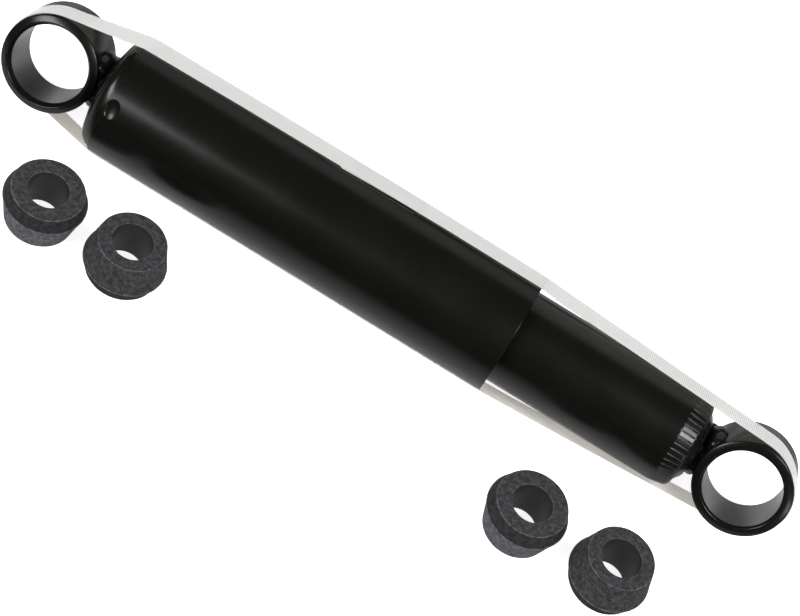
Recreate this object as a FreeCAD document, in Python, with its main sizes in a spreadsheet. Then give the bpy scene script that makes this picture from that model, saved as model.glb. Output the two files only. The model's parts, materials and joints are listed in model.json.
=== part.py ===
"""A twin-tube shock absorber with an eye at each end, pushed together, and its loose bushes.

X runs along the shock absorber from the upper eye's centre, at the origin, to the lower eye.
Z is up. The shock absorber lies on its dust tube, with its four rubber bushes on its -Y side.
The eyes' bores lean from Y by the roll at which it lies.
"""
import FreeCAD, Part
import math
import os
import re

import Sketcher

SIZES = (
    # eyes
    ("upper_roll", 27.6, "lean of the upper eye's bore from the level, in degrees"),
    ("lower_roll", 29.7, "lean of the lower eye's bore from the level, in degrees"),
    ("eye_bore", 43.4, "bore of an eye ring"),
    ("eye_wall", 5.8, "wall of an eye ring"),
    ("eye_width", 33.0, "length of an eye ring along its bore"),
    ("eye_edge", 0.8, "rounding of the ring's edges at both faces"),
    ("upper_bevel", 1.9, "bevel at the ends of the upper bore, across the wall"),
    ("lower_bevel", 1.05, "bevel at the ends of the lower bore, across the wall"),
    ("bevel_lean", 33.0, "lean of a bevel from its bore, in degrees"),
    ("upper_neck", 1.8, "upper eye ring to the dust cap"),
    ("lower_neck", 3.1, "base cap to the lower eye ring"),
    ("neck_d", 27.0, "waist of the weld between an eye and its cap"),
    ("neck_flare", 1.5, "how far the weld spreads at both of its ends"),
    ("neck_saddle", 6.0, "how far the weld reaches round the ring"),
    # dust tube and its cap
    ("dust_room", 5.3, "room between the reservoir tube and the dust tube"),
    ("dust_wall", 1.2, "wall of the dust tube"),
    ("dust_length", 247.0, "length of the dust tube"),
    ("dust_inset", 10.2, "dust cap's flat top to the dust tube's upper edge"),
    ("cap_land", 3.5, "flat left on a cap round its weld's waist"),
    ("cap_slope", 2.9, "fall of the cap's crown from the flat to its rim"),
    ("cap_corner", 8.0, "rounding of the cap's outer corner"),
    ("cap_wall", 2.5, "sheet thickness of the cap"),
    ("cap_skirt", 23.0, "length of the cap's skirt"),
    ("dent_count", 3.0, "crimp dents that hold the tube on the cap"),
    ("dent_turn", 54.0, "turn of the first dent from the top, in degrees"),
    ("dent_inset", 4.4, "dust tube's edge to the middle of a dent"),
    ("dent_along", 4.0, "half length of a dent along the tube"),
    ("dent_round", 5.9, "half length of a dent round the tube"),
    ("dent_depth", 1.3, "depth of a dent"),
    ("dent_skin", 1.0, "metal left under a dent"),
    ("dent_swell", 0.33, "how far the metal pushed in by a dent spreads beyond it"),
    # rod and stroke
    ("rod_d", 16.0, "piston rod"),
    ("stop_room", 29.1, "rebound stop ring to the piston's washers"),
    ("bumper_wall", 7.0, "wall of the rebound bumper"),
    ("bumper_length", 8.0, "length of the rebound bumper"),
    ("stop_wall", 5.0, "how far the rebound stop ring stands out of the rod"),
    ("stop_length", 5.0, "length of the rebound stop ring"),
    ("stop_groove", 1.0, "depth of the stop ring's groove in the rod"),
    ("stud_d", 10.0, "reduced end of the rod that carries the piston"),
    ("stud_tail", 2.4, "end of the stud beyond the nut"),
    # piston stack
    ("stopper_rim", 7.0, "washer behind the piston's star spring, from the stud out"),
    ("stopper_thick", 3.0, "thickness of that washer"),
    ("star_thick", 0.6, "sheet of the star springs"),
    ("star_inset", 1.75, "star spring's tips in from the rim of its check plate"),
    ("star_slots", 6.0, "slots between a star spring's fingers"),
    ("star_slot", 4.0, "width of a slot"),
    ("plate_thick", 1.2, "thickness of a check plate"),
    ("plate_play", 1.75, "room between a check plate and the pressure tube"),
    ("plate_lift", 0.8, "travel of a check plate"),
    ("hub_d", 22.0, "hub that guides a check plate"),
    ("hub_spare", 1.9, "height of that hub beyond the plate and its travel"),
    ("piston_length", 20.0, "length of the piston below its hub"),
    ("piston_play", 0.4, "room between the piston and the pressure tube"),
    ("band_width", 8.0, "piston band along the rod"),
    ("band_thick", 1.8, "thickness of the piston band"),
    ("port_count", 8.0, "passages under a check plate"),
    ("port_d", 3.2, "diameter of those passages"),
    ("port_land", 1.15, "hub to those passages"),
    ("bleed_count", 4.0, "passages under the valve discs"),
    ("bleed_d", 2.6, "diameter of those passages"),
    ("bleed_land", 1.9, "stud to those passages"),
    ("disc_lap", 1.0, "how far the valve discs lap over those passages"),
    ("disc_stack", 2.0, "height of a stack of valve discs"),
    ("washer_rim", 3.0, "washer under the piston nut, from the stud out"),
    ("washer_thick", 3.0, "thickness of that washer"),
    ("nut_wall", 3.5, "piston nut from the stud to its flats"),
    ("nut_height", 8.0, "height of the piston nut"),
    # cylinder
    ("reservoir_od", 55.0, "outer diameter of the reservoir tube"),
    ("reservoir_wall", 2.0, "wall of the reservoir tube"),
    ("reservoir_inset", 13.7, "dust cap's flat top to the top of the reservoir tube"),
    ("reservoir_length", 356.0, "length of the reservoir tube"),
    ("top_lip_gap", 5.0, "room round the rod in the rolled-in top"),
    ("top_corner", 3.0, "rounding of the top"),
    ("base_lip", 5.7, "how far the bottom is rolled in"),
    ("base_draw", 2.0, "how far the bottom end is drawn in"),
    ("base_draw_length", 11.0, "length of the drawn-in end"),
    ("base_corner", 3.5, "rounding of the bottom"),
    ("crease_count", 48.0, "creases round the rolled-in bottom"),
    ("crease_width", 0.8, "width of a crease"),
    ("crease_depth", 0.5, "depth of a crease"),
    ("crease_sweep", 30.0, "radius of a crease along the tube"),
    ("crease_inset", 6.5, "bottom end to the middle of a crease"),
    ("base_wall", 3.5, "sheet thickness of the base cap"),
    ("base_skirt", 10.0, "length of the base cap's skirt"),
    ("base_dome", 3.4, "dome of the base cap beyond the reservoir tube"),
    ("pressure_bore", 36.0, "bore of the pressure tube"),
    ("pressure_wall", 1.5, "wall of the pressure tube"),
    ("piston_rest", 6.0, "rod's end to the base valve, pushed together"),
    # rod guide and seal
    ("seal_thick", 5.0, "disc of the rod seal"),
    ("seal_lip", 5.5, "length of the seal's lip"),
    ("seal_lip_wall", 1.9, "thickness of the seal's lip"),
    ("garter_d", 1.9, "wire ring of the garter spring"),
    ("guide_flange", 12.0, "flange of the rod guide"),
    ("guide_spigot", 10.0, "spigot of the rod guide in the pressure tube"),
    ("guide_recess", 7.0, "depth of the recess for the seal's lip"),
    ("recess_room", 1.65, "room round the garter spring in that recess"),
    ("guide_bush_wall", 1.5, "wall of the guide bush"),
    ("oring_d", 2.2, "section of the guide's O-ring"),
    ("oring_room", 1.0, "spare width of the O-ring's groove"),
    # base valve
    ("valve_spigot", 10.0, "base valve inside the pressure tube"),
    ("valve_flange", 4.0, "flange of the base valve under the pressure tube"),
    ("valve_foot", 3.5, "foot of the base valve on the base cap"),
    ("foot_wall", 3.0, "wall of the foot"),
    ("foot_slots", 4.0, "oil slots in the foot"),
    ("foot_slot", 9.0, "width of an oil slot"),
    ("pin_d", 6.0, "pin of the base valve"),
    ("pin_head_rim", 4.5, "how far its head stands out"),
    ("pin_head", 3.0, "height of the head"),
    ("pin_rivet_rim", 1.5, "how far its riveted end stands out"),
    ("pin_rivet", 1.0, "height of the riveted end"),
    # fits
    ("press_gap", 0.02, "room between pieces that sit tight"),
    ("run_gap", 0.05, "room between pieces that run on each other"),
    ("seat_gap", 0.1, "room under a check plate that rests on its seat"),
    # bushes
    ("bush_height", 26.0, "height of a bush"),
    ("bush_bore", 23.2, "bore of a bush"),
    ("bush_squeeze", 1.3, "how far the widest ridge stands out beyond an eye's bore"),
    ("bush_ridge", 8.3, "wide face to the ridge"),
    ("bush_face", 0.95, "wide face in from an eye's bore"),
    ("bush_lead", 2.95, "narrow end in from an eye's bore"),
    ("bush_edge", 1.2, "rounding of a bush's edges"),
    ("upper_bush_shift", 38.6, "upper eye centre to the first upper bush"),
    ("upper_bush_room", 16.2, "dust tube to the upper bushes"),
    ("upper_bush_gap", 5.9, "room between the upper bushes"),
    ("lower_bush_shift", 92.8, "first lower bush to the lower eye centre"),
    ("lower_bush_room", 25.0, "dust tube to the lower bushes"),
    ("lower_bush_gap", 8.3, "room between the lower bushes"),
    # transport strap
    ("strap_width", 16.5, "woven strap"),
    ("strap_thick", 0.6, "thickness of the strap"),
    ("strap_gap", 0.2, "room under the strap along the dust tube"),
    ("strap_lift", 0.3, "room under the strap round the eyes"),
    ("strap_shift", 1.2, "middle of the strap from the middle of the eyes"),
)

# places and radii that several pieces share, as expressions on the sheet's words
EYE_R = "(eye_bore/2 + eye_wall)"
ROD_R = "rod_d/2"
STUD_FIT_R = "(stud_d/2 + press_gap)"
DUST_IN = "(reservoir_od/2 + dust_room)"
DUST_R = f"({DUST_IN} + dust_wall)"
CAP_R = f"({DUST_IN} - press_gap)"
LAND_R = "(neck_d/2 + cap_land)"
RESERVOIR_R = "reservoir_od/2"
RESERVOIR_IN = "(reservoir_od/2 - reservoir_wall)"
RESERVOIR_FIT = "(reservoir_od/2 - reservoir_wall - press_gap)"
PRESSURE_R = "pressure_bore/2"
PRESSURE_FIT = "(pressure_bore/2 - press_gap)"
HUB_R = "hub_d/2"
HUB_HEIGHT = "(seat_gap + plate_thick + plate_lift + hub_spare)"
PISTON_R = "(pressure_bore/2 - piston_play)"
BAND_IN = "(pressure_bore/2 - run_gap - band_thick)"
PLATE_R = "(pressure_bore/2 - plate_play)"
STAR_R = f"({PLATE_R} - star_inset)"
PORT_RING = "(hub_d/2 + port_land + port_d/2)"
BLEED_RING = "(stud_d/2 + bleed_land + bleed_d/2)"
DISC_R = f"({BLEED_RING} + bleed_d/2 + disc_lap)"
BASE_LIP_R = "(reservoir_od/2 - base_lip)"
BASE_DRAW_LEAN = "atan(base_draw/base_draw_length)"
BUSH_R = "(eye_bore/2 + bush_squeeze)"

CAP_TOP = f"({EYE_R} + upper_neck)"
DUST_AT = f"({CAP_TOP} + dust_inset)"
RESERVOIR_AT = f"({CAP_TOP} + reservoir_inset)"
SEAL_AT = f"({RESERVOIR_AT} + reservoir_wall)"
GUIDE_AT = f"({SEAL_AT} + seal_thick)"
PRESSURE_AT = f"({GUIDE_AT} + guide_flange)"
GUIDE_END = f"({PRESSURE_AT} + guide_spigot)"
RESERVOIR_END = f"({RESERVOIR_AT} + reservoir_length)"
BASE_AT = f"({RESERVOIR_END} - reservoir_wall)"
BASE_END = f"({RESERVOIR_END} + base_dome)"
LOWER_EYE_AT = f"({BASE_END} + lower_neck + {EYE_R})"
VALVE_FOOT_AT = f"({BASE_AT} - base_wall)"
PRESSURE_END = f"({VALVE_FOOT_AT} - valve_foot - valve_flange)"
VALVE_FACE = f"({PRESSURE_END} - valve_spigot)"
VALVE_TOP = f"({VALVE_FACE} - {HUB_HEIGHT} - star_thick - pin_head)"

STACK = f"(stopper_thick + star_thick + {HUB_HEIGHT} + piston_length + disc_stack + washer_thick)"
ROD_END = f"({VALVE_TOP} - piston_rest)"
SHOULDER = f"({ROD_END} - stud_tail - nut_height - {STACK})"
STAR_AT = f"({SHOULDER} + stopper_thick)"
PISTON_AT = f"({STAR_AT} + star_thick)"
PISTON_FACE = f"({PISTON_AT} + {HUB_HEIGHT})"
PISTON_END = f"({PISTON_FACE} + piston_length)"
BAND_AT = f"({PISTON_FACE} + (piston_length - band_width)/2)"
STOP_AT = f"({SHOULDER} - stop_room - stop_length)"
BUMPER_AT = f"({STOP_AT} - bumper_length)"
FLOOR = f"-{DUST_R}"

doc = FreeCAD.newDocument("shock_absorber")
sheet = doc.addObject("Spreadsheet::Sheet", "sizes")
for row, (word, size, meaning) in enumerate(SIZES, start=1):
    sheet.set(f"A{row}", meaning)
    sheet.set(f"B{row}", str(size))
    sheet.setAlias(f"B{row}", word)
doc.recompute()

WORDS = {word for word, size, meaning in SIZES}
ALONG = FreeCAD.Vector(1, 0, 0)
ACROSS = FreeCAD.Vector(0, 1, 0)
SIXTH_TURN = 60
QUARTER_TURN = 90
FULL_TURN = 360
NEAR = 1e-3
pieces = []


def cells(text):
    """An expression on the sheet's words, written as the document reads it."""
    return re.sub(r"[a-z]\w*", lambda word: f"sizes.{word[0]}" if word[0] in WORDS else word[0], text)


def value(text):
    """What an expression on the sheet's words comes to."""
    return float(sheet.evalExpression(cells(text)))


def bind(thing, name, text):
    thing.setExpression(name, cells(text))


def new_body(label, station="0", roll=None):
    """A body whose own X axis is the shock absorber's, set along it and rolled about it."""
    body = doc.addObject("PartDesign::Body", label)
    body.Label = label
    if roll:
        body.Placement = FreeCAD.Placement(FreeCAD.Vector(), FreeCAD.Rotation(ALONG, value(roll)))
        bind(body, "Placement.Rotation.Angle", roll)
    bind(body, "Placement.Base.x", station)
    pieces.append(body)
    return body


def origin_part(body, role):
    return next(part for part in body.Origin.OriginFeatures if part.Role == role)


def sketch_on(body, plane, name):
    sketch = body.newObject("Sketcher::SketchObject", f"{body.Label}_{name}")
    sketch.AttachmentSupport = [(origin_part(body, plane), "")]
    sketch.MapMode = "FlatFace"
    return sketch


def hold(sketch, edge, point, place):
    """Holds a point of the sketch at a pair of expressions, measured from the origin."""
    for kind, axis, text in zip(("DistanceX", "DistanceY"), (-2, -1), place):
        if text == "0":
            sketch.addConstraint(Sketcher.Constraint("PointOnObject", edge, point, axis))
            continue
        held = sketch.addConstraint(Sketcher.Constraint(kind, -1, 1, edge, point, value(text)))
        bind(sketch, f"Constraints[{held}]", text)


def add_outline(sketch, corners):
    """A closed outline with straight edges."""
    places = [FreeCAD.Vector(value(along), value(out), 0) for along, out in corners]
    for start, end in zip(places, places[1:] + places[:1]):
        sketch.addGeometry(Part.LineSegment(start, end))
    for edge in range(len(corners)):
        following = (edge + 1) % len(corners)
        sketch.addConstraint(Sketcher.Constraint("Coincident", edge, 2, following, 1))
    for edge, corner in enumerate(corners):
        hold(sketch, edge, 1, corner)


def add_circle(sketch, centre, radius):
    middle = FreeCAD.Vector(value(centre[0]), value(centre[1]), 0)
    circle = sketch.addGeometry(Part.Circle(middle, FreeCAD.Vector(0, 0, 1), value(radius)))
    size = sketch.addConstraint(Sketcher.Constraint("Radius", circle, value(radius)))
    bind(sketch, f"Constraints[{size}]", radius)
    hold(sketch, circle, 3, centre)


def ring_corners(inner, outer, length):
    return [("0", inner), ("0", outer), (length, outer), (length, inner)]


def turned(label, station, corners, roll=None):
    """A body turned about its X axis from an outline of (along, radius) corners."""
    body = new_body(label, station, roll)
    sketch = sketch_on(body, "XY_Plane", "outline")
    add_outline(sketch, corners)
    solid = body.newObject("PartDesign::Revolution", f"{label}_turned")
    solid.Profile = sketch
    solid.ReferenceAxis = (sketch, ["H_Axis"])
    solid.Angle = FULL_TURN
    doc.recompute()
    return body


def turned_edges(body, corners):
    """Names of the circular edges that lie at these (along, radius) corners."""
    wanted = [(value(along), value(out)) for along, out in corners]
    names = []
    for number, edge in enumerate(body.Tip.Shape.Edges, start=1):
        if not isinstance(edge.Curve, Part.Circle):
            continue
        circle = edge.Curve
        if any(math.hypot(circle.Center.x - x, circle.Radius - r) < NEAR for x, r in wanted):
            names.append(f"Edge{number}")
    return names


def rounded(body, corners, radius):
    edges = turned_edges(body, corners)
    base = body.Tip
    fillet = body.newObject("PartDesign::Fillet", f"{body.Label}_rounded")
    fillet.Base = (base, edges)
    bind(fillet, "Radius", radius)
    doc.recompute()


def cut(body, sketch, name, width=None):
    """Cuts a sketch out of a body on both sides, right through or over a width."""
    before = body.Shape.Volume
    pocket = body.newObject("PartDesign::Pocket", f"{body.Label}_{name}")
    pocket.Profile = sketch
    pocket.SideType = "Symmetric"
    pocket.Type = "Length" if width else "ThroughAll"
    if width:
        bind(pocket, "Length", width)
    doc.recompute()
    if not body.Shape.Volume < before:
        raise RuntimeError(f"{pocket.Label} cuts nothing")
    return pocket


def repeated(body, features, count, name):
    """Repeats features evenly round the body's X axis."""
    pattern = body.newObject("PartDesign::PolarPattern", f"{body.Label}_{name}")
    pattern.Originals = features
    pattern.Axis = (origin_part(body, "X_Axis"), [""])
    pattern.Angle = FULL_TURN
    bind(pattern, "Occurrences", count)
    body.Tip = pattern
    doc.recompute()


def drilled(body, name, circle, diameter, count):
    """A ring of holes along X."""
    sketch = sketch_on(body, "YZ_Plane", f"{name}_sketch")
    add_circle(sketch, ("0", circle), f"{diameter}/2")
    hole = cut(body, sketch, name)
    repeated(body, [hole], count, f"{name}_ring")


def slotted(body, name, inner, outer, width, count):
    """A ring of slots that run outwards, cut along X."""
    sketch = sketch_on(body, "YZ_Plane", f"{name}_sketch")
    half = f"{width}/2"
    add_outline(sketch, [(f"-{half}", inner), (half, inner), (half, outer), (f"-{half}", outer)])
    slot = cut(body, sketch, name)
    repeated(body, [slot], count, f"{name}_ring")


def eye_ring(label, station, bevel, roll):
    """A ring cut from tube, with its bore bevelled at both ends."""
    body = new_body(label, station, roll)
    half = "eye_width/2"
    bore_r = "eye_bore/2"
    mouth_r = f"({bore_r} + {bevel})"
    straight = f"({half} - {bevel}/tan(bevel_lean))"
    sketch = sketch_on(body, "XY_Plane", "section")
    corners = [(bore_r, straight), (mouth_r, half), (EYE_R, half)]
    mirrored = [(radius, f"-{along}") for radius, along in reversed(corners)]
    add_outline(sketch, corners + mirrored)
    ring = body.newObject("PartDesign::Revolution", f"{label}_ring")
    ring.Profile = sketch
    ring.ReferenceAxis = (sketch, ["V_Axis"])
    ring.Angle = FULL_TURN
    doc.recompute()
    rims = [
        f"Edge{number}"
        for number, edge in enumerate(ring.Shape.Edges, start=1)
        if isinstance(edge.Curve, Part.Circle)
        and any(abs(edge.Curve.Radius - value(radius)) < NEAR for radius in (EYE_R, mouth_r))
    ]
    fillet = body.newObject("PartDesign::Fillet", f"{label}_rounded")
    fillet.Base = (ring, rims)
    bind(fillet, "Radius", "eye_edge")
    doc.recompute()


def eye_weld(label, station, side, neck, bore, roll):
    """A waisted weld from an eye's ring to the cap that lies on one side of it, fitted to the ring."""
    root = f"{side}({EYE_R} - neck_saddle)"
    waist = f"{side}({EYE_R} + ({neck} - neck_saddle)/2)"
    end = f"{side}({EYE_R} + {neck})"
    wide = "(neck_d/2 + neck_flare)"
    corners = [(root, bore), (root, wide), (waist, "neck_d/2"), (end, wide), (end, bore)]
    body = turned(label, station, corners, roll)
    fit_to_ring(body)


def fit_to_ring(body):
    """Hollows the end of a body to an eye ring's outside."""
    sketch = sketch_on(body, "XZ_Plane", "ring")
    add_circle(sketch, ("0", "0"), EYE_R)
    cut(body, sketch, "saddle")


def dent(body, kind, name, along, out, radii, lower_half):
    """An ellipsoid across the body's wall, above its X axis."""
    shape = body.newObject(f"PartDesign::{kind}Ellipsoid", f"{body.Label}_{name}")
    if lower_half:
        shape.Angle2 = 0
    bind(shape, "Placement.Base.x", along)
    bind(shape, "Placement.Base.z", out)
    for number, text in zip((2, 3, 1), radii):
        bind(shape, f"Radius{number}", text)
    doc.recompute()
    return shape


def star_spring(label, station, bore):
    """A dished washer whose rim is slotted into fingers."""
    reach = "(plate_lift + hub_spare - seat_gap)"
    flat_r = "(hub_d/2 + seat_gap)"
    corners = [
        ("0", bore),
        ("0", flat_r),
        (reach, STAR_R),
        (f"({reach} + star_thick)", STAR_R),
        ("star_thick", flat_r),
        ("star_thick", bore),
    ]
    body = turned(label, station, corners)
    slotted(body, "slot", flat_r, f"2*{STAR_R}", "star_slot", "star_slots")


def check_plate(label, face):
    """A flat ring that covers the outer passages, just clear of the face it rests on."""
    corners = ring_corners(f"{HUB_R} + run_gap", PLATE_R, "plate_thick")
    turned(label, f"({face} - seat_gap - plate_thick)", corners)


def wire_ring(label, station, ring, section):
    """A torus round the X axis."""
    torus = doc.addObject("Part::Torus", label)
    torus.Label = label
    torus.Placement = FreeCAD.Placement(FreeCAD.Vector(), FreeCAD.Rotation(ACROSS, QUARTER_TURN))
    bind(torus, "Placement.Base.x", station)
    bind(torus, "Radius1", ring)
    bind(torus, "Radius2", section)
    pieces.append(torus)


def upper_end():
    rod_fit = f"({ROD_R} + press_gap)"
    eye_ring("upper_eye", "0", "upper_bevel", "-upper_roll")
    eye_weld("upper_eye_weld", "0", "", "upper_neck", rod_fit, "-upper_roll")

    rim = f"({CAP_TOP} + cap_slope)"
    under = f"({CAP_TOP} + cap_wall)"
    inner_r = f"({CAP_R} - cap_wall)"
    corners = [
        (CAP_TOP, rod_fit),
        (CAP_TOP, LAND_R),
        (rim, CAP_R),
        (f"({rim} + cap_skirt)", CAP_R),
        (f"({rim} + cap_skirt)", inner_r),
        (f"({rim} + cap_wall)", inner_r),
        (under, LAND_R),
        (under, rod_fit),
    ]
    cap = turned("dust_cap", "0", corners, "dent_turn")
    rounded(cap, [(rim, CAP_R)], "cap_corner")
    rounded(cap, [(f"({rim} + cap_wall)", inner_r)], "(cap_corner - cap_wall)")

    tube = turned("dust_tube", DUST_AT, ring_corners(DUST_IN, DUST_R, "dust_length"), "dent_turn")
    # the metal pushed in by a dent lies inside the tube and in a hollow of the cap's skirt
    swell_r = f"({DUST_IN} + press_gap)"
    swell = ("dent_along + dent_swell", "dent_round + dent_swell", "dent_depth - dust_wall + dent_skin")
    dish = ("dent_along", "dent_round", "dent_depth")
    hollow = tuple(f"{text} + run_gap" for text in swell)
    pushed = dent(tube, "Additive", "pushed_in", "dent_inset", swell_r, swell, True)
    dished = dent(tube, "Subtractive", "dished", "dent_inset", DUST_R, dish, False)
    repeated(tube, [pushed, dished], "dent_count", "dents")
    room = dent(cap, "Subtractive", "hollow", f"{DUST_AT} + dent_inset", swell_r, hollow, False)
    repeated(cap, [room], "dent_count", "hollows")


def rod_and_piston():
    groove_r = f"({ROD_R} - stop_groove)"
    start = f"({EYE_R} - neck_saddle/2)"
    corners = [
        (start, "0"),
        (start, ROD_R),
        (STOP_AT, ROD_R),
        (STOP_AT, groove_r),
        (f"({STOP_AT} + stop_length)", groove_r),
        (f"({STOP_AT} + stop_length)", ROD_R),
        (SHOULDER, ROD_R),
        (SHOULDER, "stud_d/2"),
        (ROD_END, "stud_d/2"),
        (ROD_END, "0"),
    ]
    rod = turned("piston_rod", "0", corners, "-upper_roll")
    fit_to_ring(rod)

    rod_fit = f"({ROD_R} + press_gap)"
    stop_fit = f"({groove_r} + press_gap)"
    stopper_r = "(stud_d/2 + stopper_rim)"
    turned("rebound_bumper", BUMPER_AT, ring_corners(rod_fit, f"({ROD_R} + bumper_wall)", "bumper_length"))
    turned("rebound_stop_ring", STOP_AT, ring_corners(stop_fit, f"({ROD_R} + stop_wall)", "stop_length"))
    turned("spring_stop_washer", SHOULDER, ring_corners(STUD_FIT_R, stopper_r, "stopper_thick"))
    star_spring("piston_star_spring", STAR_AT, STUD_FIT_R)
    check_plate("piston_check_plate", PISTON_FACE)

    groove = f"({BAND_AT} - {PISTON_AT} - run_gap)"
    groove_end = f"({BAND_AT} - {PISTON_AT} + band_width + run_gap)"
    groove_r = f"({BAND_IN} - run_gap)"
    corners = [
        ("0", STUD_FIT_R),
        ("0", HUB_R),
        (HUB_HEIGHT, HUB_R),
        (HUB_HEIGHT, PISTON_R),
        (groove, PISTON_R),
        (groove, groove_r),
        (groove_end, groove_r),
        (groove_end, PISTON_R),
        (f"({HUB_HEIGHT} + piston_length)", PISTON_R),
        (f"({HUB_HEIGHT} + piston_length)", STUD_FIT_R),
    ]
    piston = turned("piston", PISTON_AT, corners)
    drilled(piston, "port", PORT_RING, "port_d", "port_count")
    drilled(piston, "bleed", BLEED_RING, "bleed_d", "bleed_count")
    turned("piston_band", BAND_AT, ring_corners(BAND_IN, f"({PRESSURE_R} - run_gap)", "band_width"))

    turned("rebound_valve_discs", PISTON_END, ring_corners(STUD_FIT_R, DISC_R, "disc_stack"))
    washer_at = f"({PISTON_END} + disc_stack)"
    washer_r = "(stud_d/2 + washer_rim)"
    turned("rebound_valve_washer", washer_at, ring_corners(STUD_FIT_R, washer_r, "washer_thick"))
    piston_nut(f"({washer_at} + washer_thick)")


def piston_nut(station):
    """A plain hexagon nut, bored for the stud."""
    hexagon = doc.addObject("Part::Prism", "nut_hexagon")
    hexagon.Polygon = 6
    bind(hexagon, "Circumradius", f"(stud_d/2 + nut_wall)/cos({SIXTH_TURN}/2)")
    bind(hexagon, "Height", "nut_height")
    hole = doc.addObject("Part::Cylinder", "nut_hole")
    bind(hole, "Radius", STUD_FIT_R)
    bind(hole, "Height", "nut_height")
    nut = doc.addObject("Part::Cut", "piston_nut")
    nut.Label = "piston_nut"
    nut.Base = hexagon
    nut.Tool = hole
    nut.Placement = FreeCAD.Placement(FreeCAD.Vector(), FreeCAD.Rotation(ACROSS, QUARTER_TURN))
    bind(nut, "Placement.Base.x", station)
    pieces.append(nut)


def reservoir():
    """The outer tube: rolled in over the seal at its top, and with creases over the base cap."""
    end = "reservoir_length"
    inner_end = "(reservoir_length - reservoir_wall)"
    draw_at = "(reservoir_length - base_draw_length)"
    drawn_r = f"({RESERVOIR_R} - base_draw)"
    drawn_in = f"({RESERVOIR_IN} - base_draw)"
    top_lip_r = f"({ROD_R} + top_lip_gap)"
    corners = [
        ("0", top_lip_r),
        ("0", RESERVOIR_R),
        (draw_at, RESERVOIR_R),
        (end, drawn_r),
        (end, BASE_LIP_R),
        (inner_end, BASE_LIP_R),
        (inner_end, drawn_in),
        (draw_at, RESERVOIR_IN),
        ("reservoir_wall", RESERVOIR_IN),
        ("reservoir_wall", top_lip_r),
    ]
    tube = turned("reservoir_tube", RESERVOIR_AT, corners)
    rounded(tube, [("0", RESERVOIR_R)], "top_corner")
    rounded(tube, [(end, drawn_r)], "base_corner")
    rounded(tube, [(inner_end, drawn_in)], "(base_corner - reservoir_wall)")
    sketch = sketch_on(tube, "XY_Plane", "crease_sketch")
    # a crease runs along the drawn-in cone, so its sweep stands square to it
    stand = "(crease_sweep - crease_depth)"
    crease_r = f"({drawn_r} + crease_inset*base_draw/base_draw_length)"
    along = f"({end} - crease_inset + {stand}*sin({BASE_DRAW_LEAN}))"
    out = f"({crease_r} + {stand}*cos({BASE_DRAW_LEAN}))"
    add_circle(sketch, (along, out), "crease_sweep")
    crease = cut(tube, sketch, "crease", "crease_width")
    repeated(tube, [crease], "crease_count", "creases")


def base_cap_and_eye():
    floor = "-base_wall"
    skirt_in = f"({RESERVOIR_FIT} - base_wall)"
    lip_fit = f"({BASE_LIP_R} - press_gap)"
    drawn_fit = f"({RESERVOIR_FIT} - base_draw)"
    dome = "(reservoir_wall + base_dome)"
    inner_dome = "(reservoir_wall + base_dome - base_wall)"
    corners = [
        (dome, "0"),
        (dome, LAND_R),
        ("reservoir_wall", lip_fit),
        ("0", lip_fit),
        ("0", drawn_fit),
        ("-base_skirt", RESERVOIR_FIT),
        ("-base_skirt", skirt_in),
        (floor, skirt_in),
        (floor, f"({BASE_LIP_R} - base_wall)"),
        (inner_dome, f"({LAND_R} - base_wall)"),
        (inner_dome, "0"),
    ]
    cap = turned("base_cap", BASE_AT, corners)
    rounded(cap, [("0", drawn_fit)], "base_corner - reservoir_wall + press_gap")
    eye_weld("lower_eye_weld", LOWER_EYE_AT, "-", "lower_neck", "0", "-lower_roll")
    eye_ring("lower_eye", LOWER_EYE_AT, "lower_bevel", "-lower_roll")


def pressure_tube():
    outer = f"({PRESSURE_R} + pressure_wall)"
    length = f"({PRESSURE_END} - {PRESSURE_AT})"
    turned("pressure_tube", PRESSURE_AT, ring_corners(PRESSURE_R, outer, length))


def rod_guide_and_seal():
    run_r = f"({ROD_R} + run_gap)"
    lip_end = "(seal_thick + seal_lip)"
    lip_r = f"({ROD_R} + run_gap + seal_lip_wall)"
    corners = [
        ("0", run_r),
        ("0", RESERVOIR_FIT),
        ("seal_thick", RESERVOIR_FIT),
        ("seal_thick", lip_r),
        (lip_end, lip_r),
        (lip_end, run_r),
    ]
    turned("rod_seal", SEAL_AT, corners)
    garter_r = f"({lip_r} + garter_d/2 + press_gap)"
    wire_ring("seal_garter_spring", f"({SEAL_AT} + seal_thick + seal_lip/2)", garter_r, "garter_d/2")

    bush_r = f"({ROD_R} + run_gap + guide_bush_wall)"
    groove = "((guide_flange - oring_d - oring_room)/2)"
    groove_end = "((guide_flange + oring_d + oring_room)/2)"
    groove_r = f"({RESERVOIR_IN} - oring_d - 2*press_gap)"
    guide_end = "(guide_flange + guide_spigot)"
    recess_r = f"({lip_r} + garter_d + recess_room)"
    corners = [
        ("0", recess_r),
        ("0", RESERVOIR_FIT),
        (groove, RESERVOIR_FIT),
        (groove, groove_r),
        (groove_end, groove_r),
        (groove_end, RESERVOIR_FIT),
        ("guide_flange", RESERVOIR_FIT),
        ("guide_flange", PRESSURE_FIT),
        (guide_end, PRESSURE_FIT),
        (guide_end, f"({bush_r} + press_gap)"),
        ("guide_recess", f"({bush_r} + press_gap)"),
        ("guide_recess", recess_r),
    ]
    turned("rod_guide", GUIDE_AT, corners)
    oring_ring = f"({RESERVOIR_IN} - oring_d/2 - press_gap)"
    wire_ring("guide_oring", f"({GUIDE_AT} + guide_flange/2)", oring_ring, "oring_d/2")
    bush_length = f"({guide_end} - guide_recess)"
    turned("guide_bush", f"({GUIDE_AT} + guide_recess)", ring_corners(run_r, bush_r, bush_length))


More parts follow.
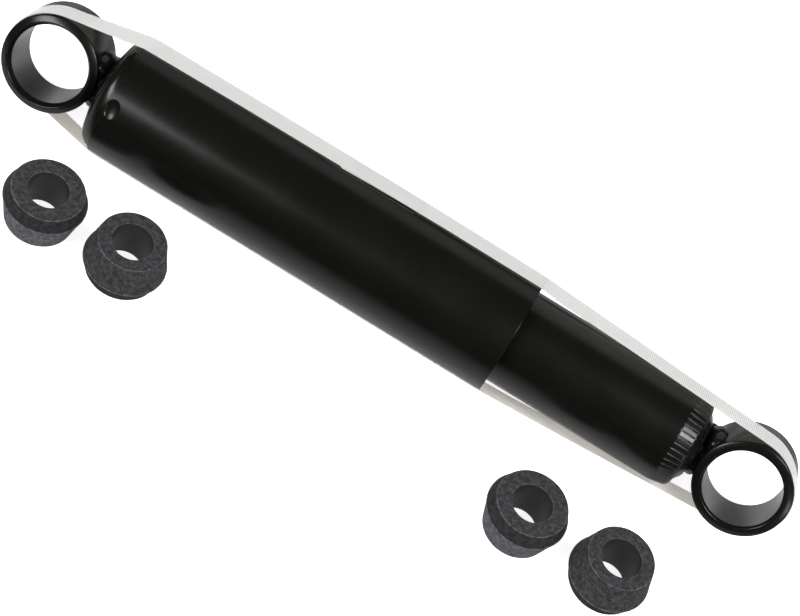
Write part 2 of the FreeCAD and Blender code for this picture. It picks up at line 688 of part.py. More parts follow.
def base_valve():
    pin_fit = "(pin_d/2 + press_gap)"
    body_at = f"({VALVE_FACE} - {HUB_HEIGHT})"
    flange = f"({HUB_HEIGHT} + valve_spigot)"
    under = f"({flange} + valve_flange)"
    foot = f"({under} + valve_foot)"
    flange_r = f"({PRESSURE_R} + pressure_wall)"
    corners = [
        ("0", pin_fit),
        ("0", HUB_R),
        (HUB_HEIGHT, HUB_R),
        (HUB_HEIGHT, PRESSURE_FIT),
        (flange, PRESSURE_FIT),
        (flange, flange_r),
        (foot, flange_r),
        (foot, f"({flange_r} - foot_wall)"),
        (under, f"({flange_r} - foot_wall)"),
        (under, pin_fit),
    ]
    valve = turned("base_valve_body", body_at, corners)
    drilled(valve, "port", PORT_RING, "port_d", "port_count")
    drilled(valve, "bleed", BLEED_RING, "bleed_d", "bleed_count")
    sketch = sketch_on(valve, "XY_Plane", "oil_slot_sketch")
    half = "foot_slot/2"
    add_outline(sketch, [(under, f"-{half}"), (foot, f"-{half}"), (foot, half), (under, half)])
    slot = cut(valve, sketch, "oil_slot")
    repeated(valve, [slot], "foot_slots", "oil_slots")
    check_plate("base_check_plate", VALVE_FACE)
    star_spring("base_star_spring", f"({body_at} - star_thick)", pin_fit)
    discs_at = f"({PRESSURE_END} + valve_flange)"
    turned("compression_valve_discs", discs_at, ring_corners(pin_fit, DISC_R, "disc_stack"))
    shank = f"({discs_at} + disc_stack - {VALVE_TOP})"
    head_r = "(pin_d/2 + pin_head_rim)"
    rivet_r = "(pin_d/2 + pin_rivet_rim)"
    corners = [
        ("0", "0"),
        ("0", head_r),
        ("pin_head", head_r),
        ("pin_head", "pin_d/2"),
        (shank, "pin_d/2"),
        (shank, rivet_r),
        (f"({shank} + pin_rivet)", rivet_r),
        (f"({shank} + pin_rivet)", "0"),
    ]
    turned("base_valve_pin", VALVE_TOP, corners)


def bushes():
    """Two tapered bushes by each eye: the first stands on its narrow end, the second on its wide end."""
    corners = [
        ("0", "bush_bore/2"),
        ("0", "(eye_bore/2 - bush_face)"),
        ("bush_ridge", BUSH_R),
        ("bush_height", "(eye_bore/2 - bush_lead)"),
        ("bush_height", "bush_bore/2"),
    ]
    first_places = {"upper": "upper_bush_shift", "lower": f"({LOWER_EYE_AT} - lower_bush_shift)"}
    for end, first in first_places.items():
        for number, turn in ((1, QUARTER_TURN), (2, -QUARTER_TURN)):
            along = first if number == 1 else f"({first} + 2*{BUSH_R} + {end}_bush_gap)"
            bush = turned(f"{end}_bush_{number}", along, corners)
            rounded(bush, corners[1:4], "bush_edge")
            bush.Placement = FreeCAD.Placement(bush.Placement.Base, FreeCAD.Rotation(ACROSS, turn))
            bind(bush, "Placement.Base.y", f"-({DUST_R} + {end}_bush_room + {BUSH_R})")
            bind(bush, "Placement.Base.z", f"{FLOOR} + bush_height" if number == 1 else FLOOR)


def tangent_angle(centre, radius, corner, side):
    """Angle on a circle at which a line from a corner outside it touches it."""
    run = corner.x - centre
    away = math.hypot(run, corner.z)
    return math.atan2(corner.z, run) + side * math.acos(radius / away)


def transport_strap():
    """A taut woven loop round both eyes that lies along the dust tube on two sides."""
    ring_r = value(f"{EYE_R} + strap_lift")
    height = value(f"{DUST_R} + strap_gap")
    far = value(LOWER_EYE_AT)
    near_edge = FreeCAD.Vector(value(DUST_AT), 0, height)
    far_edge = FreeCAD.Vector(value(f"{DUST_AT} + dust_length"), 0, height)
    near_turn = tangent_angle(0, ring_r, near_edge, 1)
    far_turn = tangent_angle(far, ring_r, far_edge, -1)

    def on_ring(centre, angle):
        return FreeCAD.Vector(centre + ring_r * math.cos(angle), 0, ring_r * math.sin(angle))

    def mirrored(point):
        return FreeCAD.Vector(point.x, 0, -point.z)

    top = [on_ring(0, near_turn), near_edge, far_edge, on_ring(far, far_turn)]
    bottom = [mirrored(point) for point in top]
    runs = [Part.LineSegment(start, end) for side in (top, bottom) for start, end in zip(side, side[1:])]
    bends = [
        Part.Arc(top[0], on_ring(0, math.pi), bottom[0]),
        Part.Arc(top[-1], on_ring(far, 0), bottom[-1]),
    ]
    edges = Part.sortEdges([curve.toShape() for curve in runs + bends])[0]
    inside = Part.Wire(edges)
    outside = inside.makeOffset2D(value("strap_thick"))
    section = Part.makeFace([outside, inside], "Part::FaceMakerBullseye")
    section.translate(ACROSS * value("-strap_shift - strap_width/2"))
    strap = doc.addObject("Part::Feature", "transport_strap")
    strap.Label = "transport_strap"
    strap.Shape = section.extrude(ACROSS * value("strap_width"))
    lean = FreeCAD.Rotation(ALONG, value("-(upper_roll + lower_roll)/2"))
    strap.Placement = FreeCAD.Placement(FreeCAD.Vector(), lean)
    pieces.append(strap)


upper_end()
rod_and_piston()
reservoir()
base_cap_and_eye()
pressure_tube()
rod_guide_and_seal()
base_valve()
bushes()
transport_strap()
doc.recompute()

for thing in doc.Objects:
    if {"Invalid", "Error"} & set(thing.State):
        raise RuntimeError(f"{thing.Label} failed: {thing.State}")
for piece in pieces:
    if piece.Shape.isNull() or not piece.Shape.isValid():
        raise RuntimeError(f"{piece.Label} has no valid solid")
    if len(piece.Shape.Solids) != 1:
        raise RuntimeError(f"{piece.Label} has {len(piece.Shape.Solids)} solids")

os.makedirs("parts", exist_ok=True)
for piece in pieces:
    piece.Shape.exportStep(f"parts/{piece.Label}.step")
    box = piece.Shape.BoundBox
    print(f"{piece.Label}: {piece.Shape.Volume:.1f} mm3, x {box.XMin:.2f} to {box.XMax:.2f}")
room = value(f"{BUMPER_AT} - {GUIDE_END}")
print(f"rebound bumper to rod guide, pushed together: {room:.1f} mm")
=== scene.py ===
# %% [markdown]
# # A shock absorber with its loose bushes and its transport strap
# The part is a twin-tube damper that lies pushed together. A woven strap round both eyes keeps it
# short, and four rubber bushes stand beside it. The CAD frame already holds every rigid piece at its
# real size. This lesson gives each surface its finish, and models the things that a solid
# model leaves plain, such as the weld beads, the moulded bushes and the woven strap.

# %% Load the CAD frame and keep its box
import json
import math
import random

import bpy
from mathutils import Matrix, Vector


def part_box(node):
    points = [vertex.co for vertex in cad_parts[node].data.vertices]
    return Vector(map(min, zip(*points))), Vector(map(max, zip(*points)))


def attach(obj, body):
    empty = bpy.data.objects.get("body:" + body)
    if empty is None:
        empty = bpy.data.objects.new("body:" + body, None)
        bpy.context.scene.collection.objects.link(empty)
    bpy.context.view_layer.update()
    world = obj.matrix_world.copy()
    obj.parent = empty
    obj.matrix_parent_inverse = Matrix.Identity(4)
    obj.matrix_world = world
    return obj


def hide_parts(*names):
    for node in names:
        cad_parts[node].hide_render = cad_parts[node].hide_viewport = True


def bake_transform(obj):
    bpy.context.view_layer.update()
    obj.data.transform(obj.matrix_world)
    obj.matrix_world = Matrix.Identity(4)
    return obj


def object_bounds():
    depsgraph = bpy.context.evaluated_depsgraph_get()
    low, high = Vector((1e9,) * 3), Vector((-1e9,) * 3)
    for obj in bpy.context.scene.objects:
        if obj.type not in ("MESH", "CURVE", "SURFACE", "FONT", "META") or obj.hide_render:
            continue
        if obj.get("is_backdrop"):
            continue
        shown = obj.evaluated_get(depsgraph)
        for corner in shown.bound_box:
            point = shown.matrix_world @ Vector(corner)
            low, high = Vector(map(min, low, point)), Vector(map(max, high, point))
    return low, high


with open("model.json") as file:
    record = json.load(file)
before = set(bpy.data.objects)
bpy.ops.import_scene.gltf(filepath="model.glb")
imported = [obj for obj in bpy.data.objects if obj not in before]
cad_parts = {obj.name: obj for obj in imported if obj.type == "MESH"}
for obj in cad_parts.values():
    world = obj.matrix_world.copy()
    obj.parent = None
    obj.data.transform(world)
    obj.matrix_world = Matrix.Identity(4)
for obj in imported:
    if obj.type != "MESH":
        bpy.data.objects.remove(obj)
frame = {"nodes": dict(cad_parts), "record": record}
nodes = frame["nodes"]
MM = 0.001
cad_low, cad_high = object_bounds()
print("CAD box, mm:", [round(side / MM, 1) for side in cad_high - cad_low])

# %% [markdown]
# ## Camera
# A product picture like this is taken from above with a long lens, and then turned so that the long
# part fills the frame on a slope. The camera could be placed by eye, but then the likeness would
# never settle. Here it is given as a photographer would say it: what it looks at, how far away it
# is, how high it stands, how far round it is, and how far the picture is rolled.

# %% Camera
LOOK_AT = Vector((227.6, -24.1, 0.0)) * MM
VIEW_DISTANCE = 1429.2 * MM
VIEW_ROUND = math.radians(1.27)
VIEW_HEIGHT = math.radians(51.91)
VIEW_ROLL = math.radians(30.55)
LENS_MM = 120.86
SENSOR_MM = 36.0

bpy.ops.object.select_all(action="DESELECT")
bpy.ops.object.camera_add()
camera = bpy.context.object
camera.name = "product_camera"
camera.matrix_world = (
    Matrix.Translation(LOOK_AT)
    @ Matrix.Rotation(VIEW_ROUND, 4, "Z")
    @ Matrix.Rotation(math.pi / 2 - VIEW_HEIGHT, 4, "X")
    @ Matrix.Rotation(VIEW_ROLL, 4, "Z")
    @ Matrix.Translation((0, 0, VIEW_DISTANCE))
)
camera.data.sensor_fit = "HORIZONTAL"
camera.data.sensor_width = SENSOR_MM
camera.data.lens = LENS_MM
bpy.context.scene.camera = camera
bpy.context.scene.view_settings.view_transform = "Standard"
print("camera at, mm:", [round(place / MM) for place in camera.matrix_world.translation])

# %% [markdown]
# ## Helpers for materials
# Colours are written as the hex values that a paint chart or a picture editor shows. Blender's
# shaders add up light, so they need linear values, and one function does that change everywhere.
# The second function adds one node of any kind, with its settings and what is linked into it, so
# that a material reads as a short list of what it is made of. The third starts a material.

# %% Colour and node helpers
TOE_END, TOE_SLOPE = 0.04045, 12.92
LIFT, POWER = 0.055, 2.4
MIX_FACTOR, MIX_FIRST, MIX_SECOND, MIX_COLOUR = 0, 6, 7, 2


def linear(hex_colour):
    """An sRGB colour such as '#DCDCDC' as the linear red, green, blue and alpha of a shader."""
    shares = [int(hex_colour[i:i + 2], 16) / 255 for i in (1, 3, 5)]
    bent = [((s + LIFT) / (1 + LIFT)) ** POWER if s > TOE_END else s / TOE_SLOPE for s in shares]
    return (*bent, 1.0)


def add_node(tree, kind, inputs=None, **settings):
    """Adds a node, sets its properties, and fills each named input with a value or a link."""
    node = tree.nodes.new(kind)
    for name, setting in settings.items():
        setattr(node, name, setting)
    for name, source in (inputs or {}).items():
        if isinstance(source, bpy.types.NodeSocket):
            tree.links.new(source, node.inputs[name])
        else:
            node.inputs[name].default_value = source
    return node


def new_material(name):
    """A material of that name with only its shader and output, and the tree that they are in."""
    material = bpy.data.materials.new(name)
    material.use_nodes = True
    return material, material.node_tree, material.node_tree.nodes["Principled BSDF"]


print("white is", linear("#FFFFFF"))

# %% [markdown]
# ## Floor and background
# The part lies on a white sheet under soft light, and the picture is white to its edges. More light
# would burn out the pale strap, so the sheet glows like a light table: nearly full white for the
# camera, which leaves only a faint shadow, and less for the light that it throws back on the part.
# Gloss paint mirrors the sheet where it is close to the part. What it mirrors is a painted glow, set
# along the sheet: it fades out towards the viewer, so the front of the tube mirrors a dark room. It is
# painted darker under the part, a painted shadow where little light gets in, and lightest in two
# painted bands behind it, which the insides of the eyes mirror. The sheet lies a hair lower than the
# CAD's lowest point, because the skin of the rubber bushes is uneven.

# %% Floor
FLOOR_SIDE = 8.0
FLOOR_DROP = 0.15 * MM
CAMERA_GLOW = 0.88
FILL_GLOW = 0.8
# painted reflection and painted shadow: the glow that the paint mirrors, darker under the part and lit
# in bands behind it
MIRROR_GLOW = (
    # across the part, from the viewer to the back (mm), brightness that the paint mirrors
    (-125, 0.0),
    (-72, 0.44),
    (-40, 0.64),
    (-31, 0.60),
    (-22, 0.36),
    (-6, 0.30),
    (14, 0.40),
    (36, 1.0),
    (58, 1.0),
    (82, 0.30),
    (130, 0.30),
    (170, 0.7),
    (350, 0.10),
)
bpy.ops.object.select_all(action="DESELECT")
floor_z = cad_low.z - FLOOR_DROP
bpy.ops.mesh.primitive_plane_add(size=FLOOR_SIDE, location=(LOOK_AT.x, LOOK_AT.y, floor_z))
floor = bpy.context.object
floor.name = "white_sheet"
bpy.ops.object.transform_apply(location=True)
floor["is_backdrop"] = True

sheet, tree, shader = new_material("matt_white_paper_sheet")
path = add_node(tree, "ShaderNodeLightPath").outputs
place = add_node(tree, "ShaderNodeTexCoord").outputs["Object"]
depth = add_node(tree, "ShaderNodeSeparateXYZ", {"Vector": place}).outputs["Y"]
nearest, farthest = MIRROR_GLOW[0][0], MIRROR_GLOW[-1][0]
share = add_node(
    tree,
    "ShaderNodeMapRange",
    {"Value": depth, "From Min": nearest * MM, "From Max": farthest * MM},
).outputs["Result"]
ramp = add_node(tree, "ShaderNodeValToRGB", {"Fac": share})
stops = ramp.color_ramp.elements
for across, brightness in MIRROR_GLOW[1:-1]:
    stops.new((across - nearest) / (farthest - nearest))
for stop, (across, brightness) in zip(stops, MIRROR_GLOW):
    stop.color = (brightness, brightness, brightness, 1.0)
on_sheet = ramp.outputs["Color"]
mirrored = add_node(
    tree,
    "ShaderNodeMath",
    {0: path["Is Glossy Ray"], 1: path["Is Transmission Ray"]},
    operation="MAXIMUM",
).outputs[0]
in_paint = add_node(tree, "ShaderNodeMath", {0: mirrored, 1: on_sheet}, operation="MULTIPLY").outputs[0]
with_fill = add_node(
    tree,
    "ShaderNodeMath",
    {0: path["Is Diffuse Ray"], 1: FILL_GLOW, 2: in_paint},
    operation="MULTIPLY_ADD",
).outputs[0]
glow = add_node(
    tree,
    "ShaderNodeMath",
    {0: path["Is Camera Ray"], 1: CAMERA_GLOW, 2: with_fill},
    operation="MULTIPLY_ADD",
).outputs[0]
# for mirrored rays the paper is black, so the paint mirrors only the painted glow
paper = add_node(
    tree,
    "ShaderNodeMix",
    {MIX_FACTOR: mirrored, MIX_FIRST: linear("#E6E6E6"), MIX_SECOND: linear("#000000")},
    data_type="RGBA",
).outputs[MIX_COLOUR]
tree.links.new(paper, shader.inputs["Base Color"])
tree.links.new(glow, shader.inputs["Emission Strength"])
shader.inputs["Emission Color"].default_value = linear("#FFFFFF")
shader.inputs["Roughness"].default_value = 1.0
shader.inputs["Specular IOR Level"].default_value = 0.0
floor.data.materials.append(sheet)
print("floor at z, mm:", round(floor_z / MM, 2))

# %% [markdown]
# ## Room
# Past the sheet, the camera sees white, so that the picture is white to its edges. The part sees a dim
# grey room, as in a studio. A white room all round would turn black paint grey.

# %% Room
world = bpy.data.worlds.new("studio_room")
bpy.context.scene.world = world
world.use_nodes = True
tree = world.node_tree
path = add_node(tree, "ShaderNodeLightPath").outputs
room = add_node(
    tree,
    "ShaderNodeMix",
    {MIX_FACTOR: path["Is Camera Ray"], MIX_FIRST: linear("#262626"), MIX_SECOND: linear("#FFFFFF")},
    data_type="RGBA",
).outputs[MIX_COLOUR]
tree.links.new(room, tree.nodes["Background"].inputs["Color"])
print("the room is white for the camera and dim for the part")

# %% [markdown]
# ## Lights
# Two bright softboxes stand half left and half right of the viewer. The long tube faces between them,
# so it shows only the soft edge of the left one as a dim streak, while the rounded cap and the
# drawn-in bottom turn towards them and flash. A low strip on the right draws thin lines on the edges
# of the eyes. Two wide fills at the ends light the strap and the bushes. They are kept out of the
# mirror image, as a photographer would flag them off the gloss. A dim card behind gives the top edge
# its faint sheen. Each lamp's strength follows from how bright its face should be.

# %% Softboxes
LAMPS = (
    # name, round from the viewer and height (degrees), distance, width and length (m),
    # brightness, whether the paint mirrors it
    ("left_softbox", -46, 38, 1.5, 1.05, 0.45, 8.0, True),
    ("right_softbox", 62, 49, 1.5, 0.45, 0.45, 16.0, True),
    ("low_strip", 45, 6, 1.5, 0.25, 0.12, 10.0, True),
    ("left_fill", -90, 50, 1.5, 1.0, 0.8, 5.1, False),
    ("right_fill", 90, 50, 1.5, 1.0, 0.8, 5.1, False),
    ("back_card", 180, 38, 1.4, 1.4, 0.7, 0.4, True),
)
for name, turn, height, distance, width, length, brightness, mirrored in LAMPS:
    bearing, lift = math.radians(turn), math.radians(height)
    flat = math.cos(lift)
    away = Vector((math.sin(bearing) * flat, -math.cos(bearing) * flat, math.sin(lift)))
    bpy.ops.object.light_add(type="AREA", location=LOOK_AT + away * distance)
    lamp = bpy.context.object
    lamp.name = name
    lamp.rotation_euler = away.to_track_quat("Z", "Y").to_euler()
    lamp.data.shape = "RECTANGLE"
    lamp.data.size = width
    lamp.data.size_y = length
    lamp.data.energy = brightness * math.pi * width * length
    lamp.visible_camera = False
    lamp.visible_glossy = mirrored
    print(name, round(lamp.data.energy, 2), "W")

# %% [markdown]
# ## Black paint
# The tubes, caps, eyes and welds are steel that was sprayed as one piece with black chassis paint.
# Such paint dries to a satin gloss with a faint orange peel, and it picks up a little dust. A plain
# black shader would look like plastic, so a fine noise bends the mirror image a little, a broad
# noise varies how sharp it is, and a few pale specks lie on top. Paint also draws back from sharp
# edges and leaves them round, so the shader rounds each edge a little and lets it catch the light.

# %% Black paint
PEEL_SIZE = 2.2 * MM
PEEL_DEPTH = 0.012 * MM
HAZE_SIZE = 30 * MM
SPECK_SPACING = 5 * MM
SPECK_SHARE = 0.035
EDGE_PAINT = 0.6 * MM
EDGE_SAMPLES = 8
PAINT_SHARP, PAINT_DULL = 0.21, 0.27
PAINT_IOR = 1.5
# most of a noise lies between these two values
NOISE_LOW, NOISE_HIGH = 0.3, 0.7


def black_paint():
    """Satin black chassis paint, sprayed on steel: deep black, with soft streaks of the lamps."""
    material, tree, shader = new_material("satin_black_chassis_paint")
    place = add_node(tree, "ShaderNodeTexCoord").outputs["Object"]
    haze = add_node(tree, "ShaderNodeTexNoise", {"Vector": place, "Scale": 1 / HAZE_SIZE, "Detail": 3.0})
    rough = add_node(
        tree,
        "ShaderNodeMapRange",
        {
            "Value": haze.outputs["Fac"],
            "From Min": NOISE_LOW,
            "From Max": NOISE_HIGH,
            "To Min": PAINT_SHARP,
            "To Max": PAINT_DULL,
        },
    )
    grains = add_node(tree, "ShaderNodeTexVoronoi", {"Vector": place, "Scale": 1 / SPECK_SPACING})
    speck = add_node(
        tree,
        "ShaderNodeMath",
        {0: grains.outputs["Distance"], 1: SPECK_SHARE},
        operation="LESS_THAN",
    )
    colour = add_node(
        tree,
        "ShaderNodeMix",
        {
            MIX_FACTOR: speck.outputs[0],
            MIX_FIRST: linear("#0E0E0C"),
            MIX_SECOND: linear("#3A3A37"),
        },
        data_type="RGBA",
    )
    peel = add_node(tree, "ShaderNodeTexNoise", {"Vector": place, "Scale": 1 / PEEL_SIZE, "Detail": 1.0})
    edge = add_node(tree, "ShaderNodeBevel", {"Radius": EDGE_PAINT}, samples=EDGE_SAMPLES)
    bump = add_node(
        tree,
        "ShaderNodeBump",
        {"Height": peel.outputs["Fac"], "Distance": PEEL_DEPTH, "Normal": edge.outputs["Normal"]},
    )
    tree.links.new(colour.outputs[MIX_COLOUR], shader.inputs["Base Color"])
    tree.links.new(rough.outputs["Result"], shader.inputs["Roughness"])
    tree.links.new(bump.outputs["Normal"], shader.inputs["Normal"])
    shader.inputs["IOR"].default_value = PAINT_IOR
    return material


print(black_paint.__doc__)

# %% [markdown]
# ## Metals inside the damper
# The rod is ground and hard-chromed, so it is bright and nearly a mirror. Discs, springs, nut and
# pressure tube are bare oiled steel with turning marks. Piston, guide and base valve are pressed
# from iron powder and sintered, which leaves a dark grainy skin, and the guide bush is rolled
# bronze. All of them are one kind of shader with another colour, sharpness and grain, so one
# function makes them and a table says how they differ.

# %% Metals
METALS = {
    # slot: name, pale colour, dark colour, sharpest, dullest roughness, grain size and depth (mm)
    "hard_chrome": ("ground_hard_chrome", "#D6D7D9", "#C2C3C6", 0.06, 0.12, 0.25, 0.0004),
    "bright_steel": ("turned_oiled_steel", "#B9B8B4", "#8F8E8A", 0.22, 0.36, 0.40, 0.002),
    "sintered_iron": ("sintered_iron_powder", "#6E6C69", "#4B4A48", 0.45, 0.62, 0.30, 0.006),
    "bearing_bronze": ("rolled_bearing_bronze", "#C49A5B", "#A37B43", 0.24, 0.38, 0.50, 0.002),
}
TURNING_STRETCH = 0.04
OIL_PATCH = 6 * MM


def bare_metal(name, pale, dark, sharp, dull, grain, depth):
    """A bare metal: fine marks run round the damper's axis, and darker patches of oil lie on it."""
    material, tree, shader = new_material(name)
    place = add_node(tree, "ShaderNodeTexCoord").outputs["Object"]
    marks = add_node(
        tree,
        "ShaderNodeMapping",
        {"Vector": place, "Scale": (1.0, TURNING_STRETCH, TURNING_STRETCH)},
    )
    lines = add_node(
        tree,
        "ShaderNodeTexNoise",
        {"Vector": marks.outputs["Vector"], "Scale": 1 / (grain * MM), "Detail": 2.0},
    )
    patches = add_node(
        tree,
        "ShaderNodeTexNoise",
        {"Vector": place, "Scale": 1 / OIL_PATCH, "Detail": 3.0},
    )
    colour = add_node(
        tree,
        "ShaderNodeMix",
        {MIX_FACTOR: patches.outputs["Fac"], MIX_FIRST: linear(pale), MIX_SECOND: linear(dark)},
        data_type="RGBA",
    )
    rough = add_node(
        tree,
        "ShaderNodeMapRange",
        {
            "Value": lines.outputs["Fac"],
            "From Min": NOISE_LOW,
            "From Max": NOISE_HIGH,
            "To Min": sharp,
            "To Max": dull,
        },
    )
    bump = add_node(tree, "ShaderNodeBump", {"Height": lines.outputs["Fac"], "Distance": depth * MM})
    tree.links.new(colour.outputs[MIX_COLOUR], shader.inputs["Base Color"])
    tree.links.new(rough.outputs["Result"], shader.inputs["Roughness"])
    tree.links.new(bump.outputs["Normal"], shader.inputs["Normal"])
    shader.inputs["Metallic"].default_value = 1.0
    return material


print(len(METALS), "bare metals")

# %% [markdown]
# ## Rubber and plastic inside
# The seal, its O-ring and the rebound bumper are smooth black oil-proof rubber. The band on the
# piston is a filled slippery plastic. Both are moulded, so their skin is even, with a fine grain.

# %% Moulded seals and band
MOULDED = {
    # slot: name, dark colour, pale colour, roughness, grain size (mm)
    "seal_rubber": ("oil_proof_seal_rubber", "#141414", "#232322", 0.48, 0.6),
    "glide_band": ("filled_slippery_plastic", "#2B3F3A", "#3A4F49", 0.42, 0.4),
}
GRAIN_DEPTH = 0.01 * MM


def moulded_skin(name, dark, pale, roughness, grain):
    """A moulded skin: one even colour with a fine grain and a satin sheen."""
    material, tree, shader = new_material(name)
    place = add_node(tree, "ShaderNodeTexCoord").outputs["Object"]
    skin = add_node(
        tree,
        "ShaderNodeTexNoise",
        {"Vector": place, "Scale": 1 / (grain * MM), "Detail": 3.0},
    )
    colour = add_node(
        tree,
        "ShaderNodeMix",
        {MIX_FACTOR: skin.outputs["Fac"], MIX_FIRST: linear(dark), MIX_SECOND: linear(pale)},
        data_type="RGBA",
    )
    bump = add_node(tree, "ShaderNodeBump", {"Height": skin.outputs["Fac"], "Distance": GRAIN_DEPTH})
    tree.links.new(colour.outputs[MIX_COLOUR], shader.inputs["Base Color"])
    tree.links.new(bump.outputs["Normal"], shader.inputs["Normal"])
    shader.inputs["Roughness"].default_value = roughness
    return material


print(len(MOULDED), "moulded skins")

# %% [markdown]
# ## Bush rubber
# The bushes are hard black rubber, pressed in a hot mould. The rubber comes in three copies that
# differ in brightness, picked by which way a face points: the end faces and the sides that face up are
# the plain one, the upright collar is a darker copy as painted shade, and the rounded edges and the
# sides that face down to the sheet are a paler copy, a painted highlight on the edges and painted
# light thrown up from the sheet. All of them are mottled, with fine streaks that run round the bush,
# so the streaks read a UV map that holds metres round it and along it. The bore was made by a
# polished pin and stays smooth and dark, so it gets a material of its own.

# %% Bush rubber
RUBBERS = (
    # name, darkest, mottled, pale streaks
    ("face_bush_rubber", "#222223", "#3C3C3E", "#808086"),
    # a darker copy for the upright collar: painted shade
    ("painted_shade_collar_bush_rubber", "#1A1A1B", "#2D2D2F", "#6A6A70"),
    # a paler copy for the rounded edges and the sides that face down: painted highlight and painted
    # light from the sheet
    ("painted_light_bush_rubber", "#38383C", "#58585E", "#A4A4AC"),
)
MOTTLE_SIZE = 2.6 * MM
MOTTLE_LOW, MOTTLE_HIGH = 0.41, 0.6
STREAK_SIZE = 0.8 * MM
STREAK_STRETCH = 0.16
STREAK_LOW, STREAK_HIGH = 0.52, 0.66
GRIT_SIZE = 0.45 * MM
GRIT_DEPTH = 0.08 * MM
RUBBER_ROUGHNESS = 0.8
RUBBER_SHINE = 0.3


def bush_rubber(name, dark, mottled, pale):
    """Mould-pressed rubber: matte and mottled, with pale streaks that run round the bush."""
    material, tree, shader = new_material(name)
    place = add_node(tree, "ShaderNodeTexCoord").outputs
    mottle = add_node(
        tree,
        "ShaderNodeTexNoise",
        {"Vector": place["Object"], "Scale": 1 / MOTTLE_SIZE, "Detail": 8.0, "Roughness": 0.8},
    )
    cloud = add_node(
        tree,
        "ShaderNodeMapRange",
        {"Value": mottle.outputs["Fac"], "From Min": MOTTLE_LOW, "From Max": MOTTLE_HIGH},
        interpolation_type="SMOOTHSTEP",
    )
    skin = add_node(
        tree,
        "ShaderNodeMix",
        {MIX_FACTOR: cloud.outputs["Result"], MIX_FIRST: linear(dark), MIX_SECOND: linear(mottled)},
        data_type="RGBA",
    )
    drawn = add_node(
        tree,
        "ShaderNodeMapping",
        {"Vector": place["UV"], "Scale": (STREAK_STRETCH, 1.0, 1.0)},
    )
    streaks = add_node(
        tree,
        "ShaderNodeTexNoise",
        {
            "Vector": drawn.outputs["Vector"],
            "Scale": 1 / STREAK_SIZE,
            "Detail": 4.0,
            "Roughness": 0.7,
            "Distortion": 0.6,
        },
    )
    scuff = add_node(
        tree,
        "ShaderNodeMapRange",
        {"Value": streaks.outputs["Fac"], "From Min": STREAK_LOW, "From Max": STREAK_HIGH},
    )
    colour = add_node(
        tree,
        "ShaderNodeMix",
        {
            MIX_FACTOR: scuff.outputs["Result"],
            MIX_FIRST: skin.outputs[MIX_COLOUR],
            MIX_SECOND: linear(pale),
        },
        data_type="RGBA",
    )
    grit = add_node(
        tree,
        "ShaderNodeTexNoise",
        {"Vector": place["Object"], "Scale": 1 / GRIT_SIZE, "Detail": 4.0},
    )
    bump = add_node(tree, "ShaderNodeBump", {"Height": grit.outputs["Fac"], "Distance": GRIT_DEPTH})
    tree.links.new(colour.outputs[MIX_COLOUR], shader.inputs["Base Color"])
    tree.links.new(bump.outputs["Normal"], shader.inputs["Normal"])
    shader.inputs["Roughness"].default_value = RUBBER_ROUGHNESS
    shader.inputs["Specular IOR Level"].default_value = RUBBER_SHINE
    return material


rubbers = [bush_rubber(*recipe) for recipe in RUBBERS]
print(bush_rubber.__doc__)

# %% [markdown]
# ## Strap weave
# The strap is pale polyester webbing: thick warp yarns run along it and a fine weft crosses them.
# The pattern has to follow the strap round both eyes, so it reads the strap's own UV map, which
# holds metres along and across the cloth. Two sine waves make the yarns, and a long thin noise
# gives the fibres. The real yarns are finer than the picture can show, so they are drawn coarser.
# The cloth is thin, and some light comes through it where it lies on the bright sheet.

# %% Strap weave
WARP_PITCH = 1.5 * MM
WEFT_PITCH = 1.1 * MM
YARN_HEIGHT = 0.05 * MM
FIBRE_SIZE = 0.5 * MM
FIBRE_STRETCH = 0.06
FIBRE_SHADE = 0.6
GAP_HEIGHT = 0.35
GAP_SHADE = 0.9
WAVE_TURN = math.pi / 10
LIGHT_THROUGH = 0.9
LIGHT_REACH = 2.5 * MM
LIGHT_SPREAD = (1.0, 0.96, 0.9)
WEBBING_ROUGHNESS = 0.75
WEBBING_SHINE = 0.25


